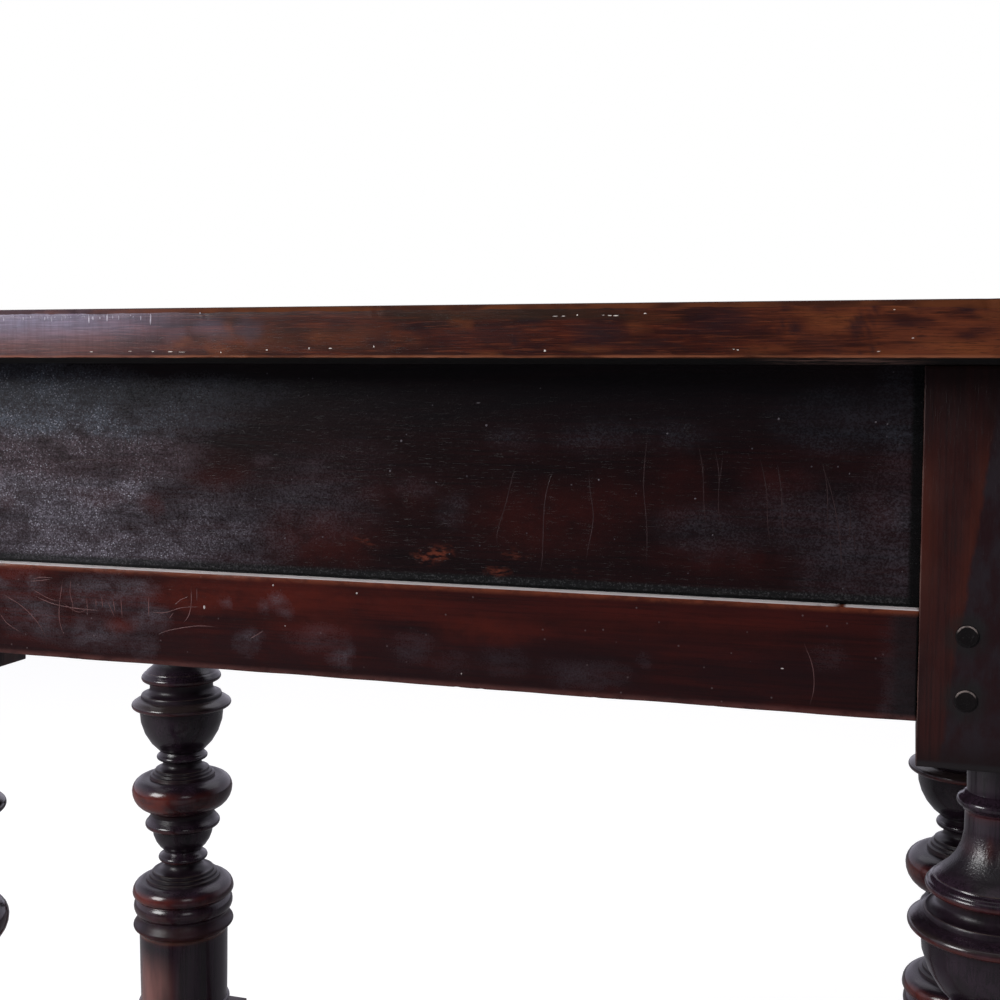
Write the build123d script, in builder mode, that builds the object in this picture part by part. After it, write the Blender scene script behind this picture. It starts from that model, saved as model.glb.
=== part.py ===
from build123d import *
import os

os.makedirs("parts", exist_ok=True)

# A small joined table on four turned legs. Millimetres, +Z up from the floor.
# X runs along the table, -Y is the front, and the origin is on the floor under its middle.

# Overall shape
HEIGHT = 800.0
LEG_X = 350.75            # leg centres from the middle, along the table
LEG_Y = 167.2             # leg centres from the middle, front to back
SQUARE = 87.0             # side of the squares left on each leg
ARRIS = 0.8               # eased edge on every sawn piece

# Top
TOP_THICK = 31.5
TOP_OVERHANG_FRONT = 45.0
TOP_OVERHANG_END = 70.0
TOP_BEVEL_HIGH = 3.0      # bevel planed along the underside of the edge
TOP_BEVEL_WIDE = 7.0
TOP_ROUND = 1.6           # worn upper arris
TONGUE_THICK = 7.0        # loose tongues between the boards
TONGUE_WIDE = 22.0
TONGUE_STOP = 60.0        # tongues end this far from the ends of the top

# Leg, heights above the floor
SQUARE_TOP_FOOT = 556.0   # underside of the upper square
SQUARE_LOW_HEAD = 155.0   # top of the lower square
SQUARE_LOW_FOOT = 63.0    # underside of the lower square, where the turned foot starts

# Frieze: a rail, and a board above it that is set back and stands on it
LEDGE = 639.3             # top of every rail
RAIL_FRONT_FOOT = 579.5
RAIL_SIDE_FOOT = 560.0
RAIL_THICK = 26.0
RAIL_SETBACK = 1.5        # rail face behind the face of the squares
BOARD_SETBACK = 8.5       # frieze board face behind the rail face
BOARD_THICK = 18.0
GROOVE = 8.0              # width and depth of the grooves that hold the frieze boards

# Joints
TENON_THICK = 12.0
TENON_LONG = 42.0
TENON_SHOULDER = 7.0      # shoulder above and below each tenon
RAIL_PEG_IN = 24.5        # peg from the shoulder of the joint
RAIL_PEG_DOWN = 12.2      # upper peg below the ledge
RAIL_PEG_SPACING = 34.2
PEG_RADIUS = 5.8
PEG_LONG = 46.0
PEG_PROUD = 0.7           # pegs stand a little out of the wood

# Stretchers
STRETCHER_FOOT = 87.0
STRETCHER_HIGH = 48.0
STRETCHER_THICK = 26.0
STRETCHER_TENON = 30.0
STRETCHER_PEG_IN = 15.0
STRETCHER_PEG_LONG = 58.0

# Bearers under the top, dovetailed into the frieze boards
BEARER_X = 150.0
BEARER_WIDE = 46.0
BEARER_HIGH = 30.0
BEARER_LAP = 10.0
BEARER_FLARE = 5.0        # how much each side of the dovetail widens

# Pegs through the top
TOP_PEG_RADIUS = 5.0
TOP_PEG_DEEP = 24.0       # below the underside of the top
BEARER_PEG_Y = 120.0

# Foot
SPIGOT_RADIUS = 13.0
SPIGOT_LONG = 22.0

# Worked out from the above
HALF_SQUARE = SQUARE / 2
TOP_FOOT = HEIGHT - TOP_THICK
INNER_X = LEG_X - HALF_SQUARE            # inner faces of the squares
INNER_Y = LEG_Y - HALF_SQUARE
OUTER_X = LEG_X + HALF_SQUARE            # outer faces of the squares
OUTER_Y = LEG_Y + HALF_SQUARE
TOP_HALF_X = OUTER_X + TOP_OVERHANG_END
TOP_HALF_Y = OUTER_Y + TOP_OVERHANG_FRONT
BOARD_EDGE = TOP_HALF_Y / 3              # joint lines of the top, from the middle
TOP_JOINT_MID = HEIGHT - TOP_THICK / 2
RAIL_CENTRE_IN = RAIL_SETBACK + RAIL_THICK / 2                      # from the face of the squares
BOARD_CENTRE_IN = RAIL_SETBACK + BOARD_SETBACK + BOARD_THICK / 2
PEG_HEIGHTS = [LEDGE - RAIL_PEG_DOWN - i * RAIL_PEG_SPACING for i in range(2)]
STRETCHER_MID = STRETCHER_FOOT + STRETCHER_HIGH / 2
PEG_ALIGN = (Align.CENTER, Align.CENTER, Align.MIN)

# The turning between the squares, from the top down. Each row is the radius and height that the
# tool reaches next, and how far the stretch to it bulges out (+) or is hollowed (-).
LEG_TURNING = (
    (16.0, SQUARE_TOP_FOOT, 0),
    (15.8, 533.0, 0),         # plain neck
    (17.8, 526.5, 3.6),       # astragal
    (18.2, 524.4, 0),
    (16.9, 520.5, -0.5),
    (17.3, 507.5, 0),         # bell
    (31.5, 486.6, -2.5),
    (31.8, 485.3, 0),
    (32.4, 485.1, 0),
    (31.6, 473.4, 4.3),       # upper ring
    (29.2, 472.8, 0),
    (35.0, 464.8, -2.2),      # hollow
    (35.4, 462.8, 0),
    (36.8, 462.4, 0),
    (45.4, 456.0, 2.0),       # broad ring over the cup
    (38.4, 449.0, 1.9),
    (38.3, 444.8, 0),
    (20.2, 411.0, 4.9),       # cup
    (19.8, 410.4, 0),
    (19.6, 403.2, 3.6),       # its collar
    (18.4, 402.8, 0),
    (25.4, 394.2, -2.7),
    (25.8, 392.0, 0),
    (28.4, 390.8, -0.5),
    (28.8, 388.6, 0),
    (30.2, 388.0, 0),
    (46.0, 373.0, 4.4),       # flattened ball
    (30.7, 349.6, 4.8),
    (32.2, 349.2, 0),
    (32.6, 347.2, 0),
    (33.4, 346.9, 0),
    (30.4, 336.3, 3.4),       # thin ring
    (29.4, 336.0, 0),
    (17.6, 315.4, 3.2),       # small cup
    (17.8, 305.2, 5.2),       # its collar
    (16.6, 304.8, 0),
    (27.2, 296.4, -3.0),
    (27.7, 294.2, 0),
    (32.4, 291.0, 0.9),
    (33.0, 288.6, 0),
    (34.2, 288.2, 0),
    (46.6, 279.6, 2.7),       # shoulder
    (43.4, 271.9, 1.5),
    (43.2, 270.9, 0),
    (44.4, 270.6, 0),
    (41.9, 257.9, 2.5),       # convex band
    (41.6, 256.9, 0),
    (42.3, 256.5, 0),
    (41.5, 240.2, 4.9),       # lower ring
    (41.7, 238.0, 0),
    (40.3, 236.0, -0.4),
    (39.6, 178.2, 0),         # plain column
    (40.5, 177.6, 0),
    (40.5, 164.2, 2.8),       # base bead
    (41.4, 163.8, 0),
    (41.6, 161.4, 0),
    (43.0, SQUARE_LOW_HEAD, -1.0),
)

# The turned foot, from the square down to the floor, written the same way.
FOOT_TURNING = (
    (33.0, SQUARE_LOW_FOOT, 0),
    (33.4, 60.4, 0),
    (27.0, 54.0, -1.6),
    (27.6, 52.4, 0),
    (29.0, 52.0, 0),
    (31.0, 47.0, 1.6),
    (32.0, 46.4, 0),
    (43.5, 28.0, 5.0),
    (30.5, 3.0, 6.0),
    (28.5, 0.0, 0.4),
)


def write(piece, name):
    """Label a finished piece and save it under its own name."""
    piece.part.label = name
    export_step(piece.part, f"parts/{name}.step")


def turned_outline(rows):
    """Half outline of a turning, closed along its axis."""
    first_radius, first_height, _ = rows[0]
    last_radius, last_height, _ = rows[-1]
    with BuildSketch() as outline:
        with BuildLine():
            Line((0, first_height), (first_radius, first_height))
            for (radius, height, _), (next_radius, next_height, bulge) in zip(rows, rows[1:]):
                if bulge:
                    SagittaArc((radius, height), (next_radius, next_height), bulge)
                else:
                    Line((radius, height), (next_radius, next_height))
            Polyline((last_radius, last_height), (0, last_height), (0, first_height))
        make_face()
    return outline.sketch


def block(low, high, mode=Mode.ADD):
    """Squared solid between two opposite corners, given in any order."""
    size = [abs(b - a) for a, b in zip(low, high)]
    middle = tuple((a + b) / 2 for a, b in zip(low, high))
    with Locations(middle):
        Box(*size, mode=mode)


def ease(piece_edges):
    """Small chamfer on sawn edges."""
    chamfer(piece_edges, ARRIS)


def make_leg(side_x, side_y, name):
    """Leg at one corner. side_x is -1 at the left, side_y is -1 at the front."""
    x, y = side_x * LEG_X, side_y * LEG_Y
    inner_x, inner_y = side_x * INNER_X, side_y * INNER_Y
    outer_x, outer_y = side_x * OUTER_X, side_y * OUTER_Y
    lengthwise = Plane(origin=(x, y, 0), x_dir=(1, 0, 0), z_dir=(0, -1, 0))
    with BuildPart() as leg:
        with BuildSketch(Plane((x, y, SQUARE_TOP_FOOT))):
            Rectangle(SQUARE, SQUARE)
        extrude(amount=TOP_FOOT - SQUARE_TOP_FOOT)
        with BuildSketch(Plane((x, y, SQUARE_LOW_FOOT))):
            Rectangle(SQUARE, SQUARE)
        extrude(amount=SQUARE_LOW_HEAD - SQUARE_LOW_FOOT)
        ease(leg.edges().filter_by(Axis.Z))
        ease(leg.edges().filter_by_position(Axis.Z, SQUARE_TOP_FOOT - 0.1, SQUARE_TOP_FOOT + 0.1))
        with BuildSketch(lengthwise):
            add(turned_outline(LEG_TURNING))
        revolve(axis=Axis((x, y, 0), (0, 0, 1)))

        # mortises for the rails, and grooves for the ends of the frieze boards
        tenon_y = outer_y - side_y * RAIL_CENTRE_IN
        tenon_x = outer_x - side_x * RAIL_CENTRE_IN
        board_y = outer_y - side_y * BOARD_CENTRE_IN
        board_x = outer_x - side_x * BOARD_CENTRE_IN
        half_tenon, half_groove = TENON_THICK / 2, GROOVE / 2
        mortise_head = LEDGE - GROOVE - TENON_SHOULDER
        block((inner_x, tenon_y - half_tenon, RAIL_FRONT_FOOT + TENON_SHOULDER),
              (inner_x + side_x * TENON_LONG, tenon_y + half_tenon, mortise_head), Mode.SUBTRACT)
        block((tenon_x - half_tenon, inner_y, RAIL_SIDE_FOOT + TENON_SHOULDER),
              (tenon_x + half_tenon, inner_y + side_y * TENON_LONG, mortise_head), Mode.SUBTRACT)
        block((inner_x, board_y - half_groove, LEDGE),
              (inner_x + side_x * GROOVE, board_y + half_groove, TOP_FOOT), Mode.SUBTRACT)
        block((board_x - half_groove, inner_y, LEDGE),
              (board_x + half_groove, inner_y + side_y * GROOVE, TOP_FOOT), Mode.SUBTRACT)

        # mortises for the stretchers
        low, high = STRETCHER_FOOT + TENON_SHOULDER, STRETCHER_FOOT + STRETCHER_HIGH - TENON_SHOULDER
        block((inner_x, y - half_tenon, low),
              (inner_x + side_x * STRETCHER_TENON, y + half_tenon, high), Mode.SUBTRACT)
        block((x - half_tenon, inner_y, low),
              (x + half_tenon, inner_y + side_y * STRETCHER_TENON, high), Mode.SUBTRACT)

        # peg holes
        for height in PEG_HEIGHTS:
            with Locations(rail_peg_plane(side_x, side_y, height, along_x=False)):
                Cylinder(PEG_RADIUS, PEG_LONG, align=PEG_ALIGN, mode=Mode.SUBTRACT)
            with Locations(rail_peg_plane(side_x, side_y, height, along_x=True)):
                Cylinder(PEG_RADIUS, PEG_LONG, align=PEG_ALIGN, mode=Mode.SUBTRACT)
        for along_x in (False, True):
            with Locations(stretcher_peg_plane(side_x, side_y, along_x)):
                Cylinder(PEG_RADIUS, STRETCHER_PEG_LONG, align=PEG_ALIGN, mode=Mode.SUBTRACT)

        # holes for the top's peg and for the foot's spigot
        with Locations((x, y, TOP_FOOT - TOP_PEG_DEEP)):
            Cylinder(TOP_PEG_RADIUS, TOP_PEG_DEEP, align=PEG_ALIGN, mode=Mode.SUBTRACT)
        with Locations((x, y, SQUARE_LOW_FOOT)):
            Cylinder(SPIGOT_RADIUS, SPIGOT_LONG, align=PEG_ALIGN, mode=Mode.SUBTRACT)
    write(leg, name)


def rail_peg_plane(side_x, side_y, height, along_x):
    """Where a rail peg enters the leg's outer face, its z axis pointing into the wood."""
    if along_x:
        entry = (side_x * OUTER_X, side_y * (INNER_Y + RAIL_PEG_IN), height)
        return Plane(origin=entry, z_dir=(-side_x, 0, 0))
    entry = (side_x * (INNER_X + RAIL_PEG_IN), side_y * OUTER_Y, height)
    return Plane(origin=entry, z_dir=(0, -side_y, 0))


def stretcher_peg_plane(side_x, side_y, along_x):
    """Where a stretcher peg enters the leg's outer face."""
    if along_x:
        entry = (side_x * OUTER_X, side_y * (INNER_Y + STRETCHER_PEG_IN), STRETCHER_MID)
        return Plane(origin=entry, z_dir=(-side_x, 0, 0))
    entry = (side_x * (INNER_X + STRETCHER_PEG_IN), side_y * OUTER_Y, STRETCHER_MID)
    return Plane(origin=entry, z_dir=(0, -side_y, 0))


def driven_peg(plane, length):
    """Wooden peg driven along the z axis of a plane on the face, its domed head left a little proud."""
    side = Plane(origin=plane.origin, x_dir=plane.x_dir, z_dir=-plane.y_dir)
    dome = (PEG_RADIUS ** 2 + PEG_PROUD ** 2) / (2 * PEG_PROUD)
    with BuildPart() as peg:
        with BuildSketch(side):
            with BuildLine():
                Polyline((0, -PEG_PROUD), (0, length), (PEG_RADIUS, length), (PEG_RADIUS, 0))
                RadiusArc((PEG_RADIUS, 0), (0, -PEG_PROUD), dome)
            make_face()
        revolve(axis=Axis(plane.origin, plane.z_dir))
    return peg.part


def make_foot(side_x, side_y, name):
    """Turned foot with a spigot that goes up into the lower square."""
    x, y = side_x * LEG_X, side_y * LEG_Y
    with BuildPart() as foot:
        with BuildSketch(Plane(origin=(x, y, 0), x_dir=(1, 0, 0), z_dir=(0, -1, 0))):
            add(turned_outline(FOOT_TURNING))
        revolve(axis=Axis((x, y, 0), (0, 0, 1)))
        with Locations((x, y, SQUARE_LOW_FOOT)):
            Cylinder(SPIGOT_RADIUS, SPIGOT_LONG, align=PEG_ALIGN)
    write(foot, name)


def frieze_plane(along_x, side, from_face):
    """Upright plane of one side of the frieze, at a depth behind the face of the squares.

    Its x axis runs along that side, its y axis is up, and its z axis points outwards."""
    if along_x:
        return Plane(origin=(0, side * (OUTER_Y - from_face), 0), x_dir=(-side, 0, 0), z_dir=(0, side, 0))
    return Plane(origin=(side * (OUTER_X - from_face), 0, 0), x_dir=(0, side, 0), z_dir=(side, 0, 0))


def upright(low, high, half_width):
    """Centred rectangle on an upright plane, between two heights."""
    with Locations((0, (low + high) / 2)):
        Rectangle(2 * half_width, high - low)


def make_rail(along_x, side, name):
    """Rail with a tenon at each end and a groove in its top for the frieze board."""
    half_length = INNER_X if along_x else INNER_Y
    foot = RAIL_FRONT_FOOT if along_x else RAIL_SIDE_FOOT
    middle = frieze_plane(along_x, side, RAIL_CENTRE_IN)
    groove = frieze_plane(along_x, side, BOARD_CENTRE_IN)
    with BuildPart() as rail:
        with BuildSketch(middle):
            upright(foot, LEDGE, half_length)
        extrude(amount=RAIL_THICK / 2, both=True)
        ease(rail.edges().filter_by(Axis.X if along_x else Axis.Y))
        with BuildSketch(middle):
            upright(foot + TENON_SHOULDER, LEDGE - GROOVE - TENON_SHOULDER, half_length + TENON_LONG)
        extrude(amount=TENON_THICK / 2, both=True)
        with BuildSketch(groove):
            upright(LEDGE - GROOVE, LEDGE, half_length)
        extrude(amount=GROOVE / 2, both=True, mode=Mode.SUBTRACT)
        for end in (-1, 1):
            for height in PEG_HEIGHTS:
                corner = (end, side) if along_x else (side, end)
                with Locations(rail_peg_plane(*corner, height, along_x=not along_x)):
                    Cylinder(PEG_RADIUS, PEG_LONG, align=PEG_ALIGN, mode=Mode.SUBTRACT)
    write(rail, name)


def make_frieze(along_x, side, name):
    """Frieze board, tongued into the legs and into the rail it stands on."""
    half_length = INNER_X if along_x else INNER_Y
    middle = frieze_plane(along_x, side, BOARD_CENTRE_IN)
    bearers = [bearer_shape(bearer_side) for bearer_side in (-1, 1)] if along_x else []
    with BuildPart() as board:
        with BuildSketch(middle):
            upright(LEDGE, TOP_FOOT, half_length)
        extrude(amount=BOARD_THICK / 2, both=True)
        with BuildSketch(middle):
            upright(LEDGE - GROOVE, LEDGE, half_length)
            upright(LEDGE, TOP_FOOT, half_length + GROOVE)
        extrude(amount=GROOVE / 2, both=True)
        for bearer in bearers:
            add(bearer, mode=Mode.SUBTRACT)
    write(board, name)


def bearer_shape(side):
    """Bearer under the top, with a dovetail at each end."""
    half_wide = BEARER_WIDE / 2
    shoulder = OUTER_Y - RAIL_SETBACK - BOARD_SETBACK - BOARD_THICK
    tip = shoulder + BEARER_LAP
    flare = half_wide + BEARER_FLARE
    with BuildPart() as bearer:
        with BuildSketch(Plane((side * BEARER_X, 0, TOP_FOOT - BEARER_HIGH))):
            Rectangle(BEARER_WIDE, 2 * shoulder)
            for end in (-1, 1):
                with BuildLine():
                    Polyline((-half_wide, end * shoulder), (-flare, end * tip), (flare, end * tip),
                             (half_wide, end * shoulder), close=True)
                make_face()
        extrude(amount=BEARER_HIGH)
    return bearer.part


def make_bearer(side, name):
    shape = bearer_shape(side)
    with BuildPart() as bearer:
        add(shape)
        with Locations(*[(side * BEARER_X, end * BEARER_PEG_Y, TOP_FOOT - TOP_PEG_DEEP) for end in (-1, 1)]):
            Cylinder(TOP_PEG_RADIUS, TOP_PEG_DEEP, align=PEG_ALIGN, mode=Mode.SUBTRACT)
    write(bearer, name)


def top_peg_places():
    """Centres of the pegs that hold the top down, seen from above."""
    legs = [(sx * LEG_X, sy * LEG_Y) for sx in (-1, 1) for sy in (-1, 1)]
    bearers = [(sx * BEARER_X, sy * BEARER_PEG_Y) for sx in (-1, 1) for sy in (-1, 1)]
    return legs + bearers


def make_top_board(joint_back, joint_front, name):
    """One board of the top, between two lines across its width."""
    tongues = [y for y in (joint_back, joint_front) if abs(y) < TOP_HALF_Y]
    with BuildPart() as board:
        with BuildSketch(Plane.XY.offset(TOP_FOOT)):
            Rectangle(2 * (TOP_HALF_X - TOP_BEVEL_WIDE), 2 * (TOP_HALF_Y - TOP_BEVEL_WIDE))
        with BuildSketch(Plane.XY.offset(TOP_FOOT + TOP_BEVEL_HIGH)):
            Rectangle(2 * TOP_HALF_X, 2 * TOP_HALF_Y)
        loft()
        with BuildSketch(Plane.XY.offset(TOP_FOOT + TOP_BEVEL_HIGH)):
            Rectangle(2 * TOP_HALF_X, 2 * TOP_HALF_Y)
        extrude(amount=TOP_THICK - TOP_BEVEL_HIGH)
        fillet(board.faces().sort_by(Axis.Z)[-1].edges(), TOP_ROUND)
        block((-TOP_HALF_X, joint_front, TOP_FOOT), (TOP_HALF_X, joint_back, HEIGHT), Mode.INTERSECT)
        for y in tongues:
            tongue_solid(y, Mode.SUBTRACT)
        for x, y in top_peg_places():
            if joint_front < y < joint_back:
                with Locations((x, y, TOP_FOOT)):
                    Cylinder(TOP_PEG_RADIUS, TOP_THICK, align=PEG_ALIGN, mode=Mode.SUBTRACT)
    write(board, name)


def tongue_solid(y, mode=Mode.ADD):
    """Loose tongue in the joint between two boards of the top, stopped short of the ends."""
    half_long, half_wide, half_thick = TOP_HALF_X - TONGUE_STOP, TONGUE_WIDE / 2, TONGUE_THICK / 2
    block((-half_long, y - half_wide, TOP_JOINT_MID - half_thick),
          (half_long, y + half_wide, TOP_JOINT_MID + half_thick), mode)


def make_top_tongue(y, name):
    with BuildPart() as tongue:
        tongue_solid(y)
    write(tongue, name)


def make_stretcher(along_x, side, name):
    """Stretcher between two lower squares, tenoned at both ends."""
    half_length = INNER_X if along_x else INNER_Y
    middle = frieze_plane(along_x, side, HALF_SQUARE)
    foot, head = STRETCHER_FOOT, STRETCHER_FOOT + STRETCHER_HIGH
    with BuildPart() as stretcher:
        with BuildSketch(middle):
            upright(foot, head, half_length)
        extrude(amount=STRETCHER_THICK / 2, both=True)
        ease(stretcher.edges().filter_by(Axis.X if along_x else Axis.Y))
        with BuildSketch(middle):
            upright(foot + TENON_SHOULDER, head - TENON_SHOULDER, half_length + STRETCHER_TENON)
        extrude(amount=TENON_THICK / 2, both=True)
        for end in (-1, 1):
            corner = (end, side) if along_x else (side, end)
            with Locations(stretcher_peg_plane(*corner, along_x=not along_x)):
                Cylinder(PEG_RADIUS, STRETCHER_PEG_LONG, align=PEG_ALIGN, mode=Mode.SUBTRACT)
    write(stretcher, name)


def make_pegs(planes, length, name):
    """Group of separate pegs, one driven at each plane."""
    driven = [driven_peg(plane, length) for plane in planes]
    with BuildPart() as pegs:
        add(driven)
    write(pegs, name)


def make_top_pegs(name):
    """Pegs through the top into the legs and bearers, planed flush with it."""
    with BuildPart() as pegs:
        with Locations(*[(x, y, TOP_FOOT - TOP_PEG_DEEP) for x, y in top_peg_places()]):
            Cylinder(TOP_PEG_RADIUS, TOP_THICK + TOP_PEG_DEEP, align=PEG_ALIGN)
    write(pegs, name)


SIDES = {"left": -1, "right": 1}
ENDS = {"front": -1, "back": 1}

for end_name, end in ENDS.items():
    for side_name, side in SIDES.items():
        make_leg(side, end, f"leg_{end_name}_{side_name}")
        make_foot(side, end, f"foot_{end_name}_{side_name}")

for name, end in ENDS.items():
    make_rail(True, end, f"rail_{name}")
    make_frieze(True, end, f"frieze_{name}")
    make_stretcher(True, end, f"stretcher_{name}")
    rail_peg_planes = [rail_peg_plane(side, end, height, along_x=False)
                       for side in SIDES.values() for height in PEG_HEIGHTS]
    make_pegs(rail_peg_planes, PEG_LONG, f"rail_pegs_{name}")

for name, side in SIDES.items():
    make_rail(False, side, f"rail_{name}")
    make_frieze(False, side, f"frieze_{name}")
    make_stretcher(False, side, f"stretcher_{name}")
    make_bearer(side, f"top_bearer_{name}")
    rail_peg_planes = [rail_peg_plane(side, end, height, along_x=True)
                       for end in ENDS.values() for height in PEG_HEIGHTS]
    make_pegs(rail_peg_planes, PEG_LONG, f"rail_pegs_{name}")

stretcher_peg_planes = [stretcher_peg_plane(side, end, along_x)
                        for side in SIDES.values() for end in ENDS.values() for along_x in (False, True)]
make_pegs(stretcher_peg_planes, STRETCHER_PEG_LONG, "stretcher_pegs")

make_top_board(-BOARD_EDGE, -TOP_HALF_Y, "top_board_front")
make_top_board(BOARD_EDGE, -BOARD_EDGE, "top_board_middle")
make_top_board(TOP_HALF_Y, BOARD_EDGE, "top_board_back")
make_top_tongue(-BOARD_EDGE, "top_tongue_front")
make_top_tongue(BOARD_EDGE, "top_tongue_back")

make_top_pegs("top_pegs")
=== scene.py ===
"""A small communion table on four turned legs: its finish and its worn surfaces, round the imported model."""

import math
import random

import bmesh
import bpy
from mathutils import Matrix, Vector, noise


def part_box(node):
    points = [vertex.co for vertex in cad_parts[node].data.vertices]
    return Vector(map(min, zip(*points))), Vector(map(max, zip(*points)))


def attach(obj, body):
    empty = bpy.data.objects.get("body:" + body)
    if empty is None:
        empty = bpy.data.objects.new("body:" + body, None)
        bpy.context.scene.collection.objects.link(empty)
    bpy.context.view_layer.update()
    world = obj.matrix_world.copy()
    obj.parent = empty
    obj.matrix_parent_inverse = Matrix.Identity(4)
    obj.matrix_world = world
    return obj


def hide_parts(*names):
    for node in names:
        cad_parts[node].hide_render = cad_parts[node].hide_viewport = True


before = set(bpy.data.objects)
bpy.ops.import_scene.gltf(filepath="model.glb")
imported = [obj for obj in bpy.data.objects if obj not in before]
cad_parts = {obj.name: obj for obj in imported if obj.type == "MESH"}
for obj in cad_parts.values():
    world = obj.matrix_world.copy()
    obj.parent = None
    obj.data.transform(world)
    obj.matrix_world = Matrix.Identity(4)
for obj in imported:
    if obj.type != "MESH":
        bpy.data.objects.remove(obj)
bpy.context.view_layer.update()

MM = 0.001

# ---------------------------------------------------------------- sizes, in millimetres

SHOULDERS = {"x": 307.25, "y": 123.7}    # inner faces of the legs along each side
RAIL_FEET = {"x": 579.5, "y": 560.0}     # lower edges of the rails along each side
SQUARE = 87.0             # side of the squares left on each leg
SQUARE_TOP_FOOT = 556.0
SQUARE_LOW_HEAD = 155.0
SQUARE_LOW_FOOT = 63.0
LEDGE = 639.3             # top of the rails, where the frieze boards stand
TENON_THICK = 12.0
TENON_LONG = 42.0
TENON_SHOULDER = 7.0
GROOVE = 8.0               # groove in each rail for the frieze board
SHOULDER_LAP = 0.3        # how far each rail shoulder beds into its leg
TOP_BEVEL_HIGH = 3.0      # bevel planed along the underside of the top's edge
TOP_BEVEL_WIDE = 7.0
WORN_BAND_HIGH = 3.2      # rubbed flat along the top's upper arris
WORN_BAND_DEEP = 1.3
MARK_ROOM = 0.15          # room left in front of the top for the burrs and flecks on it
PEG_RADIUS = 5.8
PEG_X = 331.75            # pegs of the front and back rails
PEG_Y = 148.2             # pegs of the side rails
PEG_LONG = 46.0
PEG_HEIGHTS = (LEDGE - 12.2, LEDGE - 46.4)

LEG_PLACES = [(end, side) for end in ("front", "back") for side in ("left", "right")]

# The turning between the squares, from the top down. Each row is the radius and height that the
# tool reaches next, and how far the stretch to it bulges out (+) or is hollowed (-).
LEG_TURNING = (
    (16.0, SQUARE_TOP_FOOT, 0),
    (15.6, 534.0, 0),         # plain neck
    (16.8, 533.4, 0),
    (20.0, 530.6, -0.3),      # astragal
    (19.4, 526.0, 1.2),
    (17.4, 523.6, -0.3),
    (16.4, 521.6, -0.3),
    (16.5, 511.0, 0),
    (31.4, 486.4, -3.4),      # bell
    (32.4, 485.4, 0),
    (32.6, 484.6, 0),
    (34.0, 484.0, 0),
    (35.4, 482.2, 0.2),       # upper ring
    (34.8, 476.6, 1.6),
    (29.4, 475.4, 0),
    (29.2, 471.6, 0),
    (35.8, 465.4, -2.2),      # hollow
    (36.8, 465.0, 0),
    (37.2, 461.4, 0.3),
    (44.2, 458.2, 0.5),       # broad ring over the cup
    (44.2, 452.4, 1.7),
    (39.2, 451.2, 0),
    (38.7, 450.0, 0),
    (20.6, 412.0, 4.9),       # cup
    (19.6, 411.6, 0),
    (20.4, 410.4, 0),
    (22.6, 408.2, -0.3),      # its collar
    (22.2, 403.8, 1.2),
    (19.4, 402.8, 0),
    (18.2, 402.4, 0),
    (23.8, 394.4, -2.5),
    (24.8, 394.0, 0),
    (25.1, 391.8, 0),
    (27.2, 391.2, 0),
    (27.6, 389.0, 0),
    (29.8, 388.4, 0),
    (30.2, 385.2, 0),
    (46.4, 373.4, 5.0),       # flattened ball
    (31.2, 354.6, 4.3),
    (29.2, 352.0, -0.4),
    (29.0, 349.4, 0),
    (33.2, 344.2, 0),         # thin ring
    (32.8, 338.2, 1.6),
    (28.2, 336.4, 0),
    (17.2, 315.6, 2.6),       # small cup
    (17.6, 314.2, 0),
    (21.8, 311.0, -0.3),      # its collar
    (21.4, 306.2, 1.2),
    (19.0, 305.2, 0),
    (16.8, 304.8, 0),
    (16.8, 302.6, 0),
    (27.4, 296.0, -2.6),
    (28.4, 295.6, 0),
    (28.8, 293.2, 0),
    (31.2, 292.6, 0),
    (31.6, 290.2, 0),
    (34.2, 289.4, 0),
    (34.6, 287.0, 0),
    (46.8, 277.4, 3.4),       # shoulder
    (43.6, 271.4, 1.3),
    (43.0, 270.4, 0),
    (43.6, 269.8, 0),
    (42.2, 255.4, 3.0),       # convex band
    (42.0, 254.2, 0),
    (45.6, 247.2, -0.5),      # lower ring
    (46.0, 246.6, 0),
    (44.6, 242.2, 1.1),
    (43.0, 240.8, 0),
    (41.8, 239.4, 0),
    (41.0, 236.8, -0.3),
    (40.2, 171.0, 0),         # plain column
    (42.0, 170.4, 0),
    (42.2, 166.6, 0.4),
    (40.8, 166.2, 0),
    (41.2, 162.0, 0),
    (43.0, SQUARE_LOW_HEAD, -1.0),
)

# No two legs were turned quite alike: how far above (+) or below (-) the pattern each leg's
# mouldings were cut, at given heights.
LEG_DRIFT = {
    "front_left": ((500.0, 0), (400.0, 1.0), (300.0, 0)),
    "front_right": ((480.0, 0), (455.0, 2.6), (410.0, 2.0), (373.0, 0)),
    "back_left": ((480.0, 0), (457.0, -1.4), (440.0, -0.6), (408.0, -2.4), (373.0, 0), (341.0, -0.6),
                  (309.0, -1.0), (290.0, 0)),
    "back_right": ((480.0, 0), (455.0, -0.6), (411.0, 4.0), (373.0, 1.2), (355.0, 1.6), (335.0, 0)),
}

# Where dusters have rubbed the turning: foot and head of each zone, and how much.
LEG_RUBS = (
    (521.0, 525.0, 0.3), (498.0, 512.0, 0.25), (474.0, 481.0, 0.5), (451.0, 456.5, 0.6),
    (350.0, 390.0, 1.0), (337.0, 343.0, 0.4), (304.0, 309.0, 0.5), (267.0, 288.0, 0.9),
    (254.0, 267.0, 0.3), (236.0, 246.0, 0.9),
)

# The turned foot, from the square down to the floor, written the same way.
FOOT_TURNING = (
    (33.0, SQUARE_LOW_FOOT, 0),
    (33.4, 60.4, 0),
    (27.0, 54.0, -1.6),
    (27.6, 52.4, 0),
    (29.0, 52.0, 0),
    (31.0, 47.0, 1.6),
    (32.0, 46.4, 0),
    (43.5, 28.0, 5.0),
    (30.5, 3.0, 6.0),
    (28.5, 0.0, 0.4),
)

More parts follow.
